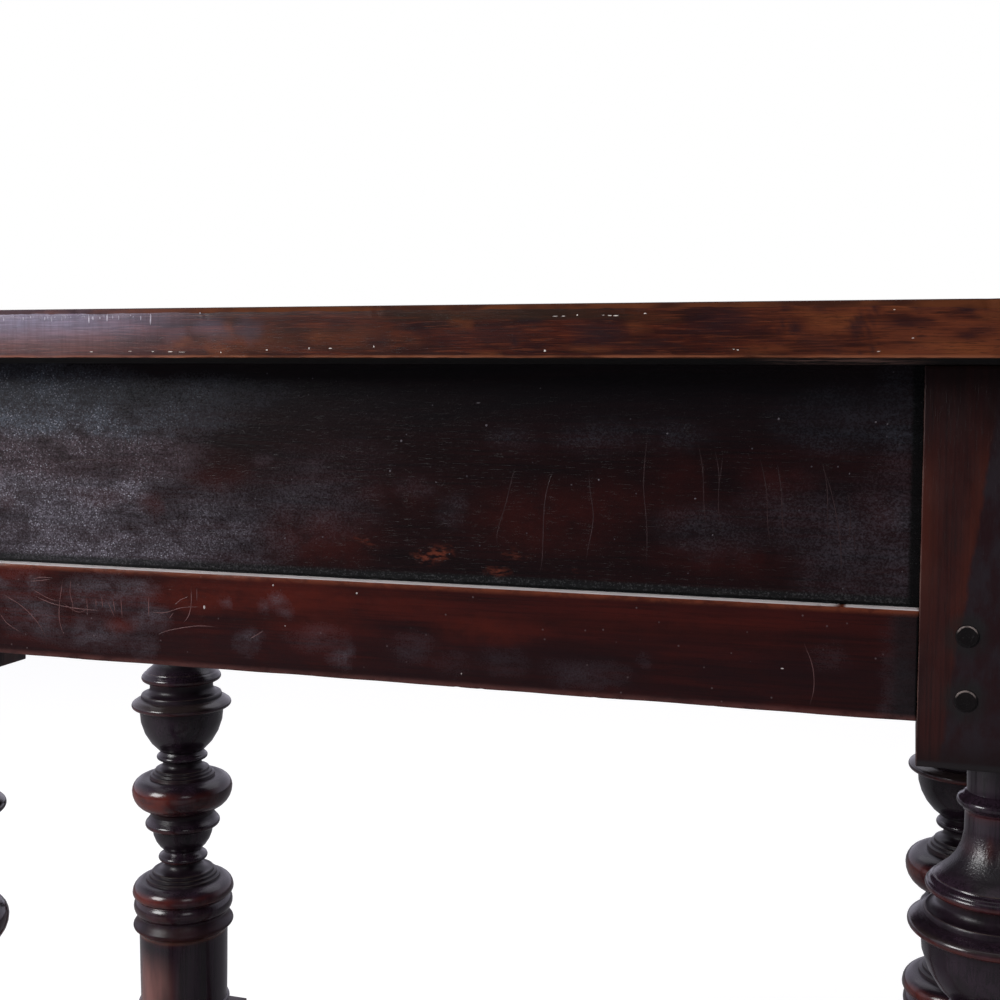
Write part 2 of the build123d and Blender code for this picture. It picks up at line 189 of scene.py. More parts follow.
# Marks scored into the front frieze board: runs of (x, height) points, each with its strength.
FRIEZE_SCORES = (
    (0.9, (83, 711), (81, 704), (77, 688), (72, 671), (72, 661)),
    (1.1, (106, 710), (102, 698), (100, 685), (99, 656), (97, 647)),
    (0.9, (126, 709), (127, 697), (129, 681), (126, 663), (125, 656)),
    (0.9, (160, 733), (158, 708), (158, 697), (160, 676), (160, 655)),
    (0.7, (188, 726), (191, 710), (192, 690), (194, 675)),
    (0.7, (197, 724), (200, 708), (200, 690), (202, 674)),
    (0.5, (202, 718), (200, 700)),
    (0.7, (222, 719), (226, 700), (227, 682), (229, 668)),
    (0.8, (231, 718), (234, 700), (235, 683), (237, 668)),
    (0.8, (255, 718), (258, 705), (259, 689), (259, 674)),
    (0.9, (256, 714), (260, 702), (263, 690), (266, 672), (267, 648)),
    (0.7, (269, 702), (271, 687), (270, 671)),
    (0.5, (273, 679), (274, 667)),
    (0.6, (273, 657), (285, 657), (295, 658)),
    (0.5, (273, 654), (281, 654)),
    (0.5, (288, 714), (297, 711)),
    (0.5, (-226, 705), (-204, 707), (-188, 707)),
    (0.9, (-175, 724), (-174, 714)),
    (0.8, (-171, 724), (-170, 714)),
    (0.6, (-166, 725), (-166, 716)),
    (1.1, (-138, 716), (-137, 706)),
    (0.9, (-132, 720), (-131, 706)),
    (0.8, (-124, 718), (-124, 708)),
)

# The same for the front rail, whose left end is scribbled all over.
RAIL_SCORES = (
    (0.7, (-265, 620), (-248, 612), (-236, 602), (-228, 590)),
    (0.8, (-265, 607), (-259, 600), (-248, 594)),
    (0.8, (-241, 624), (-228, 618), (-219, 616)),
    (1.0, (-241, 620), (-222, 614), (-199, 612), (-187, 612)),
    (0.8, (-240, 629), (-233, 631), (-223, 631)),
    (0.6, (-241, 628), (-233, 629), (-225, 630)),
    (0.9, (-216, 632), (-219, 614), (-219, 603), (-215, 592)),
    (0.7, (-210, 632), (-211, 622), (-209, 614), (-210, 608)),
    (0.6, (-218, 616), (-205, 610), (-196, 614)),
    (0.7, (-199, 621), (-198, 608)),
    (0.7, (-192, 620), (-192, 613)),
    (0.7, (-188, 622), (-187, 613)),
    (0.7, (-184, 619), (-178, 607)),
    (0.7, (-180, 622), (-178, 610)),
    (0.8, (-174, 622), (-173, 607)),
    (0.8, (-154, 625), (-154, 609)),
    (0.9, (-154, 613), (-143, 613), (-130, 617), (-117, 618)),
    (1.0, (-124, 630), (-124, 620), (-126, 612), (-130, 607)),
    (0.8, (-126, 624), (-131, 622), (-136, 618)),
    (0.8, (-140, 609), (-136, 614)),
    (0.8, (-149, 598), (-140, 602), (-120, 606), (-105, 606)),
    (0.7, (-84, 600), (-74, 606)),
    (0.6, (-120, 630), (-120, 621)),
    (0.5, (248, 619), (253, 606), (254, 594), (252, 584)),
)

# Fine burrs down the left end of the top's edge, coloured near white: painted glints.
TOP_SCORES = (
    (1.2, (-163.5, 797), (-163.3, 791)),
    (1.2, (-151, 797), (-151.2, 792)),
    (1.5, (-122, 797.4), (-122.4, 790)),
    (0.6, (-189, 796.5), (-189, 792)),
    (0.4, (-179, 796), (-179, 794)),
    (0.6, (-90, 797.4), (-90, 796)),
)
# Each chatter mark is coloured near white too: a painted glint.
CHATTER = (-226, -128, 30)    # plane chatter under the arris: from x, to x, and how many marks

# Soft patches: the middle's x and height, half the length, half the height and the strength.
# The FRIEZE_FILM and RAIL_FILM patches fill the grey film, which is dust and painted sheen.
FRIEZE_FILM = (
    (-268, 712, 80, 52, 1.0), (-212, 724, 60, 34, 0.95), (-165, 712, 56, 26, 0.85), (-225, 674, 84, 42, 0.75),
    (-205, 652, 130, 20, 0.8), (-116, 664, 66, 38, 0.42), (-50, 690, 60, 34, 0.22), (-26, 710, 44, 18, 0.15),
    (-140, 738, 60, 18, 0.4), (-260, 745, 60, 22, 0.55), (-82, 709, 7, 5, 0.5), (-245, 753, 110, 20, 0.8), (-120, 750, 70, 14, 0.35), (-45, 706, 16, 6, 0.5),
    (-172, 690, 20, 12, 0.9), (-165, 673, 8, 8, 0.7), (80, 725, 20, 10, 0.12), (130, 726, 34, 14, 0.15),
    (45, 682, 12, 12, 0.16), (22, 697, 18, 9, 0.14), (172, 728, 26, 12, 0.12), (194, 676, 36, 20, 0.14),
    (224, 677, 20, 12, 0.1), (243, 688, 40, 32, 0.14), (266, 672, 32, 46, 0.2), (296, 700, 24, 90, 0.28),
    (262, 738, 40, 26, 0.16),
)
FRIEZE_WORN = (
    (-195, 683, 32, 7, 0.7), (-158, 680, 10, 11, 0.9), (-262, 680, 10, 8, 0.6), (-108, 698, 28, 11, 0.6),
    (-40, 662, 52, 24, 1.0), (10, 690, 45, 12, 0.5), (100, 680, 62, 26, 0.9), (135, 690, 40, 20, 0.7),
    (232, 706, 26, 11, 0.7), (205, 660, 62, 12, 0.6), (175, 698, 20, 26, 0.5), (285, 690, 12, 16, 0.4),
)
FRIEZE_BARE = (
    (33, 656, 14, 5, 0.8), (70, 648, 8, 3, 0.8), (118, 652, 9, 1.3, 1.0), (-12, 663, 13, 2, 0.4),
    (82, 658, 10, 2, 0.5),
)
RAIL_FILM = (
    (-246, 614, 30, 26, 0.5),
    (-262, 626, 6, 5, 0.8), (-243, 627, 7, 7, 0.7), (-185, 623, 42, 15, 0.85), (-163, 628, 20, 8, 1.0),
    (-232, 606, 18, 18, 0.7), (-196, 596, 40, 14, 0.7), (-155, 609, 20, 13, 0.9), (-158, 591, 10, 13, 0.5),
    (-100, 621, 4, 4, 0.9), (-74, 620, 7, 6, 0.6), (-61, 622, 8, 8, 0.8), (-87, 598, 12, 10, 0.8),
    (-40, 603, 26, 11, 0.35), (-20, 594, 11, 10, 0.7), (22, 601, 20, 12, 0.3), (50, 594, 18, 10, 0.25),
    (126, 593, 32, 11, 0.35), (160, 603, 7, 6, 0.3), (78, 596, 18, 12, 0.25), (262, 611, 12, 11, 0.2),
    (300, 600, 14, 60, 0.35),
)
RAIL_WORN = (
    (-110, 625, 64, 13, 0.8), (-58, 628, 64, 13, 0.8), (-40, 612, 46, 12, 0.4), (70, 616, 46, 12, 0.6),
    (10, 628, 60, 10, 0.4), (170, 625, 100, 12, 0.25), (-250, 634, 34, 6, 0.8), (-175, 603, 16, 7, 0.7),
)
# The TOP_FILM patches are painted sheen on the top's edge.
TOP_FILM = (
    (-122, 786, 14, 11, 0.2), (-109, 785, 14, 9, 0.25), (-84, 787, 22, 9, 0.24), (-60, 786, 10, 10, 0.15),
)
TOP_STAINS = (
    (97, 779.5, 3.4, 3, 1.0), (84, 784, 22, 7, 0.5), (144, 783, 20, 9, 0.85), (106, 791, 14, 2, 0.8),
    (205, 790, 20, 10, 0.8), (205, 785.5, 34, 4, 0.6), (246.5, 784.5, 4, 4.4, 1.0), (240, 785, 2, 8, 0.7),
    (273, 787, 2.8, 8, 0.8), (279.5, 787, 2.4, 7, 0.7), (283, 794.5, 2.8, 4, 0.9), (298, 788.5, 13, 2.6, 0.9),
    (326, 784.5, 16, 2.4, 0.7), (324, 795, 8, 3, 0.7), (282, 774, 3.2, 3, 1.0), (272, 773.5, 1.5, 2, 0.9),
    (258, 778, 12, 6, 0.4), (254, 797, 6, 2, 1.0), (242, 797.5, 4, 1.6, 0.9), (271, 799, 6, 1.4, 1.0),
    (303, 797, 6, 2.4, 0.8), (324, 797, 2, 2, 1.0), (329, 797, 2.4, 2, 1.0), (334, 797.5, 2, 2, 1.0),
    (-58, 786, 9, 12, 0.5), (20, 781, 10, 6, 0.7), (-170, 790, 1.2, 1.2, 0.9), (40, 787, 14, 5, 0.4),
    (-35, 792, 12, 4, 0.4), (-5, 790, 14, 5, 0.5), (60, 780, 10, 5, 0.4), (175, 778, 12, 4, 0.5),
)
TOP_WORN = (
    (-60, 780, 46, 9, 0.45), (5, 782, 46, 9, 0.4),
    (-103, 779, 9, 4, 0.8), (-80, 777, 13, 5, 0.9), (-69, 788, 5, 6, 0.7), (-15, 782, 16, 5, 0.7),
    (65, 791, 9, 4, 0.7), (82, 774.5, 12, 2, 0.8), (139, 775.5, 16, 2.2, 0.9), (163, 787, 9, 5, 0.6),
    (262, 790, 14, 7, 1.0), (250, 795, 14, 4, 0.9), (295, 796.5, 10, 3.4, 1.0), (320, 777, 26, 6, 1.0),
    (288, 773.5, 14, 3, 0.8), (170, 793, 20, 4, 0.4), (230, 775, 20, 3, 0.6), (340, 792, 14, 5, 0.7),
)

# Flecks of whitewash: x, height, half the length, half the height.
TOP_FLECKS = (
    (-109.5, 774.7, 2.2, 0.35), (-102, 774.5, 3.2, 0.2), (-136, 775, 1.8, 0.2), (-121, 774.8, 1.0, 0.3),
    (-162, 774.7, 1.6, 0.25), (-77, 774.3, 0.6, 0.5), (-48, 775.6, 0.9, 0.4), (-22, 776.5, 0.5, 0.8),
    (-9, 776.5, 1.4, 0.4), (17, 777.4, 0.4, 0.8), (114.5, 775.0, 0.9, 0.7), (120, 793.2, 2.0, 0.25),
    (124.5, 793.2, 1.4, 0.25), (132, 793.7, 0.5, 0.5), (149.5, 793.3, 1.6, 0.3), (152.6, 793.2, 1.9, 0.4),
    (146, 793.5, 0.9, 0.2), (168, 794.2, 1.0, 0.4), (216, 775.3, 0.7, 0.4), (301, 781, 0.9, 0.3),
    (285, 774.5, 1.0, 0.25), (292, 795, 0.7, 0.3), (214, 775.6, 0.4, 0.3),
)
FRIEZE_FLECKS = (
    (-64, 662, 0.7, 0.7), (-107, 657, 0.6, 0.6), (5, 705, 0.8, 0.8), (132, 703, 0.7, 0.7), (34, 699, 0.5, 0.5),
    (60, 746, 1.6, 0.5), (232, 739, 0.8, 0.8), (187, 694, 0.8, 0.5), (197, 674, 0.5, 0.5), (283, 738, 0.7, 0.7),
    (289, 737, 0.6, 0.6), (270, 710, 0.5, 0.5), (65, 733, 0.9, 0.9), (12, 723, 0.9, 0.9), (171, 730, 0.8, 0.6),
)
RAIL_FLECKS = (
    (-13, 632, 0.8, 0.8), (237, 603.5, 1.2, 0.5), (53, 588, 0.5, 0.8), (-68, 634, 0.8, 0.8),
    (-115, 618, 1.0, 1.6), (-60, 609.5, 0.5, 0.5),
)


# ---------------------------------------------------------------- finishes


def paint(red, green, blue):
    """Linear colour from the 0-255 values of a paint chart."""
    values = [channel / 255 for channel in (red, green, blue)]
    return tuple(v / 12.92 if v <= 0.04045 else ((v + 0.055) / 1.055) ** 2.4 for v in values) + (1.0,)


class Finish:
    """A procedural material built up in layers that read the piece's own place."""

    def __init__(self, name):
        self.material = bpy.data.materials.new(name)
        self.material.use_nodes = True
        self.tree = self.material.node_tree
        self.shader = self.tree.nodes["Principled BSDF"]
        coordinates = self.add("ShaderNodeTexCoord")
        self.place = coordinates.outputs["Object"]
        self.facing = coordinates.outputs["Normal"]
        self.x, self.y, self.z = self.add("ShaderNodeSeparateXYZ", {"Vector": self.place}).outputs

    def add(self, kind, inputs=None, **settings):
        node = self.tree.nodes.new(kind)
        for key, value in settings.items():
            setattr(node, key, value)
        for key, value in (inputs or {}).items():
            self.feed(node.inputs[key], value)
        return node

    def feed(self, socket, value):
        if isinstance(value, bpy.types.NodeSocket):
            self.tree.links.new(value, socket)
        else:
            socket.default_value = value

    def sized(self, *size, shift=(0.0, 0.0, 0.0)):
        """Place measured in patches of the given size in millimetres along X, Y and Z."""
        scale = [1 / (length * MM) for length in size]
        mapping = self.add("ShaderNodeMapping", {"Vector": self.place, "Scale": scale, "Location": shift})
        return mapping.outputs["Vector"]

    def clouds(self, vector, detail=3.0, roughness=0.55, distortion=0.0):
        """Soft random patches, 0 to 1 round a middle of 0.5."""
        inputs = {"Vector": vector, "Scale": 1.0, "Detail": detail, "Roughness": roughness,
                  "Distortion": distortion}
        return self.add("ShaderNodeTexNoise", inputs).outputs["Fac"]

    def dots(self, vector, jitter=1.0):
        """Distance to the nearest of a scatter of points."""
        inputs = {"Vector": vector, "Scale": 1.0, "Randomness": jitter}
        return self.add("ShaderNodeTexVoronoi", inputs).outputs["Distance"]

    def fade(self, value, start, end, low=0.0, high=1.0):
        """Runs smoothly from low to high while value goes from start to end."""
        inputs = {"Value": value, "From Min": start, "From Max": end, "To Min": low, "To Max": high}
        return self.add("ShaderNodeMapRange", inputs, interpolation_type="SMOOTHSTEP").outputs["Result"]

    def math(self, operation, first, second=0.0, third=0.0, clamp=False):
        node = self.add("ShaderNodeMath", operation=operation, use_clamp=clamp)
        for socket, value in zip(node.inputs, (first, second, third)):
            self.feed(socket, value)
        return node.outputs["Value"]

    def times(self, first, *others):
        for other in others:
            first = self.math("MULTIPLY", first, other)
        return first

    def most(self, first, *others):
        for other in others:
            first = self.math("MAXIMUM", first, other)
        return first

    def plus(self, first, second):
        return self.math("ADD", first, second)

    def tint(self, mask, under, over, blend="MIX"):
        """Lays colour over on colour under where mask is 1."""
        node = self.add("ShaderNodeMix", data_type="RGBA", blend_type=blend)
        for socket, value in zip((node.inputs[0], node.inputs[6], node.inputs[7]), (mask, under, over)):
            self.feed(socket, value)
        return node.outputs[2]

    def band(self, value, low, high, soft):
        """1 between two levels, with soft ends."""
        return self.times(self.fade(value, low - soft, low + soft), self.fade(value, high + soft, high - soft))

    def layer(self, name):
        """A layer painted on the piece's own mesh: wear, dust film, painted sheen, painted highlights and painted shade
        among them.
        """
        return self.add("ShaderNodeAttribute", attribute_name=name).outputs["Fac"]

    def grain(self, along, shift=0.0):
        """Three scales of wood grain, as masks: broad figure, fine lines and pores."""
        def size(length, width):
            return [length if axis == along else width for axis in "xyz"]
        offset = (shift, shift * 0.7, shift * 1.3)
        figure = self.clouds(self.sized(*size(170, 16), shift=offset), 4.0, 0.55, 0.6)
        lines = self.clouds(self.sized(*size(70, 1.6), shift=offset), 4.0, 0.65, 0.1)
        pores = self.clouds(self.sized(*size(11, 0.5), shift=offset), 2.0, 0.6)
        return figure, lines, self.fade(pores, 0.60, 0.72)

    def bump(self, height, depth, normal=None):
        """Relief of the given depth in millimetres."""
        inputs = {"Height": height, "Strength": 1.0, "Distance": depth * MM}
        if normal is not None:
            inputs["Normal"] = normal
        return self.add("ShaderNodeBump", inputs).outputs["Normal"]

    def finish(self, colour, roughness, normal, specular=0.5):
        """Feeds the shader."""
        self.feed(self.shader.inputs["Base Color"], colour)
        self.feed(self.shader.inputs["Roughness"], roughness)
        self.feed(self.shader.inputs["Normal"], normal)
        self.feed(self.shader.inputs["Specular IOR Level"], specular)
        return self.material


def stained_wood(name, along, light, dark, black, shift=0.0):
    """Dark polished hardwood: the start of every outside finish. Returns the finish and its layers."""
    wood = Finish(name)
    figure, lines, pores = wood.grain(along, shift)
    colour = wood.tint(wood.fade(figure, 0.34, 0.66), dark, light)
    colour = wood.tint(wood.fade(lines, 0.42, 0.66, 0.0, 0.55), colour, black)
    colour = wood.tint(wood.times(pores, 0.6), colour, black)
    relief = wood.plus(wood.times(lines, 0.5), wood.times(pores, -0.5))
    return wood, colour, relief


def to_leg(wood, along):
    """How far a place on a rail or a board is from the nearer leg, in metres."""
    run = {"x": wood.x, "y": wood.y}[along]
    return wood.math("SUBTRACT", SHOULDERS[along] * MM, wood.math("ABSOLUTE", run))


def speckled(wood, film_and_sheen, low=0.42, high=0.62):
    """Breaks a film of dust, which also stands for painted sheen, up into the fine grains of the crackled polish under
    it.
    """
    grains = wood.clouds(wood.sized(1.15, 1.15, 0.95), 2.0, 0.7)
    return wood.times(film_and_sheen, wood.fade(grains, low, high, 0.25, 1.0)), grains


def frieze_finish(name, along):
    """The frieze boards: nearly black, redder where rubbed, with a grey speckled film in patches that is dust and
    painted sheen, and painted shadow under the top.
    """
    wood, colour, relief = stained_wood(name, along, paint(32, 13, 14), paint(22, 10, 12), paint(12, 9, 11), 2.0)
    mottle = wood.clouds(wood.sized(22, 22, 13), 5.0, 0.7)
    worn = wood.times(wood.layer("worn"), wood.fade(mottle, 0.30, 0.62, 0.35, 1.0))
    colour = wood.tint(worn, colour, paint(50, 17, 15))
    bare = wood.times(wood.layer("bare"), wood.fade(wood.clouds(wood.sized(5, 5, 1.6), 3.0), 0.40, 0.62))
    colour = wood.tint(bare, colour, paint(116, 56, 40))
    # Painted shadow: the board darker towards the top, where the top's overhang shades it.
    painted_shadow_of_top = wood.fade(wood.z, 0.716, 0.752)
    colour = wood.tint(wood.times(painted_shadow_of_top, 0.5), colour, paint(25, 24, 28))
    streaks = wood.clouds(wood.sized(26, 26, 2.2), 3.0, 0.6)
    # The grey speckled film: partly dust, partly painted sheen, the lamps' reflection at the left end laid into the
    # colour, pinkish low and bluish high.
    film_and_sheen = wood.times(wood.layer("film_and_sheen"), wood.fade(mottle, 0.30, 0.60, 0.35, 1.0))
    film_and_sheen = wood.times(film_and_sheen, wood.fade(streaks, 0.35, 0.60, 0.7, 1.0))
    height = wood.plus(wood.z, wood.math("MULTIPLY_ADD", mottle, 0.03, -0.015))
    film_and_sheen = wood.times(film_and_sheen, wood.fade(wood.band(height, 0.700, 0.725, 0.006), 0.0, 1.0, 1.0, 0.62))
    film_and_sheen_cover = wood.fade(film_and_sheen, 0.15, 0.65)
    film_and_sheen, grains = speckled(wood, film_and_sheen, 0.42, 0.62)
    sheen_and_film_colour = wood.tint(wood.fade(height, 0.692, 0.702), paint(140, 134, 148), paint(130, 112, 124))
    sheen_and_film_colour = wood.tint(wood.fade(height, 0.718, 0.730), sheen_and_film_colour, paint(118, 126, 142))
    colour = wood.tint(wood.times(film_and_sheen, 0.68), colour, sheen_and_film_colour)
    # Bright pins where the film lies: dust specks and painted glints.
    for spacing, reach, strength in ((2.0, 0.32, 0.5), (4.6, 0.13, 0.9)):
        specks_and_glints = wood.fade(wood.dots(wood.sized(spacing, spacing, spacing * 0.8)), reach, reach * 0.45)
        colour = wood.tint(wood.times(specks_and_glints, film_and_sheen_cover, strength), colour, paint(178, 178, 190))
    strays = wood.times(wood.fade(wood.dots(wood.sized(10, 10, 10)), 0.06, 0.025), 0.4)
    colour = wood.tint(strays, colour, paint(120, 116, 124))
    # Darker towards the ledge, with grains of dust in the strip.
    low_strip = wood.fade(wood.z, (LEDGE + 7) * MM, (LEDGE + 4) * MM)
    colour = wood.tint(wood.times(low_strip, 0.8), colour, paint(24, 26, 27))
    dust = wood.times(low_strip, wood.fade(grains, 0.52, 0.68))
    colour = wood.tint(wood.times(dust, 0.35), colour, paint(96, 96, 98))
    corner = wood.fade(wood.z, (LEDGE + 2.2) * MM, (LEDGE + 1.2) * MM)
    colour = wood.tint(corner, colour, paint(8, 9, 9))
    colour = wood.tint(wood.times(wood.fade(to_leg(wood, along), 0.0068, 0.0043), 0.9), colour, paint(8, 9, 9))
    colour = wood.tint(wood.times(wood.layer("score"), 0.5), colour, paint(92, 74, 76))
    colour = wood.tint(wood.layer("fleck"), colour, paint(112, 106, 112))
    relief = wood.plus(relief, wood.times(grains, 1.3))
    roughness = wood.fade(film_and_sheen, 0.0, 0.5, 0.27, 0.45)
    return wood.finish(colour, roughness, wood.bump(relief, 0.10), specular=0.17)


def rail_finish(name, along):
    """The rails: redder than the boards, rubbed along the arrises, with grey films that are dust and painted sheen, and
    dust on the ledge.
    """
    wood, colour, relief = stained_wood(name, along, paint(64, 21, 17), paint(42, 15, 14), paint(18, 9, 9), 5.0)
    mottle = wood.clouds(wood.sized(16, 16, 8), 5.0, 0.7, 0.3)
    patches = wood.clouds(wood.sized(70, 70, 26), 4.0, 0.6, 0.4)
    low_part = wood.fade(wood.z, 0.622, 0.598, 0.25, 0.75)
    purple = wood.times(low_part, wood.fade(patches, 0.35, 0.60, 0.4, 1.0))
    colour = wood.tint(purple, colour, paint(30, 15, 18))
    worn = wood.times(wood.layer("worn"), wood.fade(mottle, 0.30, 0.62, 0.45, 1.0))
    colour = wood.tint(wood.times(worn, 0.85), colour, paint(88, 30, 20))
    # The grey film: dust that also stands for painted sheen at the left end.
    film_and_sheen = wood.times(wood.layer("film_and_sheen"), wood.fade(mottle, 0.36, 0.60, 0.25, 1.0))
    film_and_sheen, grains = speckled(wood, film_and_sheen, 0.36, 0.62)
    colour = wood.tint(wood.times(film_and_sheen, 0.55), colour, paint(98, 94, 104))
    strays = wood.times(wood.fade(wood.dots(wood.sized(9, 9, 9)), 0.08, 0.03), 0.4)
    colour = wood.tint(strays, colour, paint(120, 104, 106))
    near_leg = to_leg(wood, along)
    colour = wood.tint(wood.times(wood.fade(near_leg, 0.0172, 0.0082), 0.7), colour, paint(24, 22, 24))
    colour = wood.tint(wood.fade(near_leg, 0.00125, 0.00075), colour, paint(7, 6, 7))
    rubbed_top = wood.times(wood.fade(wood.z, (LEDGE - 4.5) * MM, (LEDGE - 0.8) * MM),
                            wood.fade(mottle, 0.3, 0.6, 0.25, 1.0))
    colour = wood.tint(wood.times(rubbed_top, 0.8), colour, paint(120, 62, 42))
    foot = RAIL_FEET[along]
    rubbed_foot = wood.times(wood.fade(wood.z, (foot + 4.5) * MM, (foot + 1) * MM),
                             wood.fade(mottle, 0.3, 0.6, 0.3, 1.0))
    colour = wood.tint(wood.times(rubbed_foot, 0.6), colour, paint(104, 64, 60))
    ledge = wood.fade(wood.z, (LEDGE - 0.6) * MM, (LEDGE - 0.25) * MM)
    colour = wood.tint(ledge, colour, paint(214, 206, 206))
    colour = wood.tint(wood.times(wood.layer("score"), 0.7), colour, paint(150, 112, 112))
    colour = wood.tint(wood.layer("fleck"), colour, paint(190, 180, 178))
    relief = wood.plus(wood.times(relief, 0.4), wood.times(grains, 0.7))
    roughness = wood.plus(wood.fade(film_and_sheen, 0.0, 0.5, 0.27, 0.45), wood.times(ledge, 0.4))
    return wood.finish(colour, roughness, wood.bump(relief, 0.10), specular=0.17)


def square_finish(name):
    """The squares: red-brown by the frieze, purple-grey patina outside a slanting line, dark round the pegs, with
    painted shade under the top and a painted highlight on the inner arris.
    """
    wood, colour, relief = stained_wood(name, "z", paint(52, 23, 21), paint(38, 18, 18), paint(26, 13, 14), 9.0)
    wander = wood.clouds(wood.sized(10, 10, 16), 4.0, 0.6)
    line = wood.math("MULTIPLY_ADD", wood.z, -0.127, 0.0)
    slant = wood.plus(wood.plus(wood.x, line), wood.math("MULTIPLY_ADD", wander, 0.008, -0.252))
    stripe = wood.times(wood.fade(slant, -0.010, -0.001), wood.fade(wood.z, 0.600, 0.660),
                        wood.fade(wood.z, 0.745, 0.715))
    colour = wood.tint(wood.times(stripe, 0.42), colour, paint(82, 36, 25))
    edge = wood.times(wood.fade(wood.x, 0.3200, 0.3085), wood.fade(wood.z, 0.600, 0.680),
                      wood.fade(wood.z, 0.740, 0.700), wood.fade(wood.y, -0.2090, -0.2100))
    colour = wood.tint(wood.times(edge, 0.5), colour, paint(84, 36, 24))
    mottle = wood.clouds(wood.sized(12, 12, 22), 5.0, 0.65)
    patina = wood.tint(wood.fade(mottle, 0.35, 0.65), paint(37, 19, 22), paint(38, 30, 35))
    colour = wood.tint(wood.fade(slant, -0.001, 0.002), colour, patina)
    # Painted shade: the square darker towards the top, under the top's overhang.
    painted_shade_under_top = wood.fade(wood.z, 0.700, 0.765)
    colour = wood.tint(wood.times(painted_shade_under_top, 0.5), colour, paint(28, 15, 16))
    foot = wood.times(wood.fade(wood.z, 0.575, 0.556), wood.fade(wood.z, 0.30, 0.35))
    colour = wood.tint(wood.times(foot, 0.8), colour, paint(24, 14, 15))
    rim = wood.times(wood.fade(wood.z, 0.5605, 0.5585), wood.fade(wood.z, 0.30, 0.35))
    colour = wood.tint(wood.times(rim, 0.8), colour, paint(34, 31, 33))
    across = wood.math("ABSOLUTE", wood.x)
    # Painted highlight: a light line along the worn inner arris, where it catches the light.
    arris = wood.times(wood.band(across, 0.3072, 0.3079, 0.0002), wood.fade(mottle, 0.35, 0.60, 0.2, 0.9))
    colour = wood.tint(arris, colour, paint(92, 66, 60))
    inside = wood.math("LESS_THAN", across, 0.3073)
    colour = wood.tint(inside, colour, paint(16, 13, 14))
    for height in PEG_HEIGHTS:
        away = wood.add("ShaderNodeVectorMath", {0: wood.place, 1: (PEG_X * MM, -0.2107, height * MM)},
                        operation="DISTANCE").outputs["Value"]
        smudge = wood.times(wood.fade(away, 0.0150, 0.0070), wood.fade(mottle, 0.35, 0.6, 0.4, 0.8))
        colour = wood.tint(smudge, colour, paint(30, 29, 29))
        colour = wood.tint(wood.band(away, 0.0057, 0.0060, 0.0002), colour, paint(16, 13, 14))
    colour = wood.tint(wood.times(wood.layer("fleck"), 1.0), colour, paint(120, 100, 96))
    roughness = wood.plus(wood.fade(mottle, 0.35, 0.7, 0.30, 0.42), wood.times(inside, 0.4))
    return wood.finish(colour, roughness, wood.bump(relief, 0.08), specular=0.22)


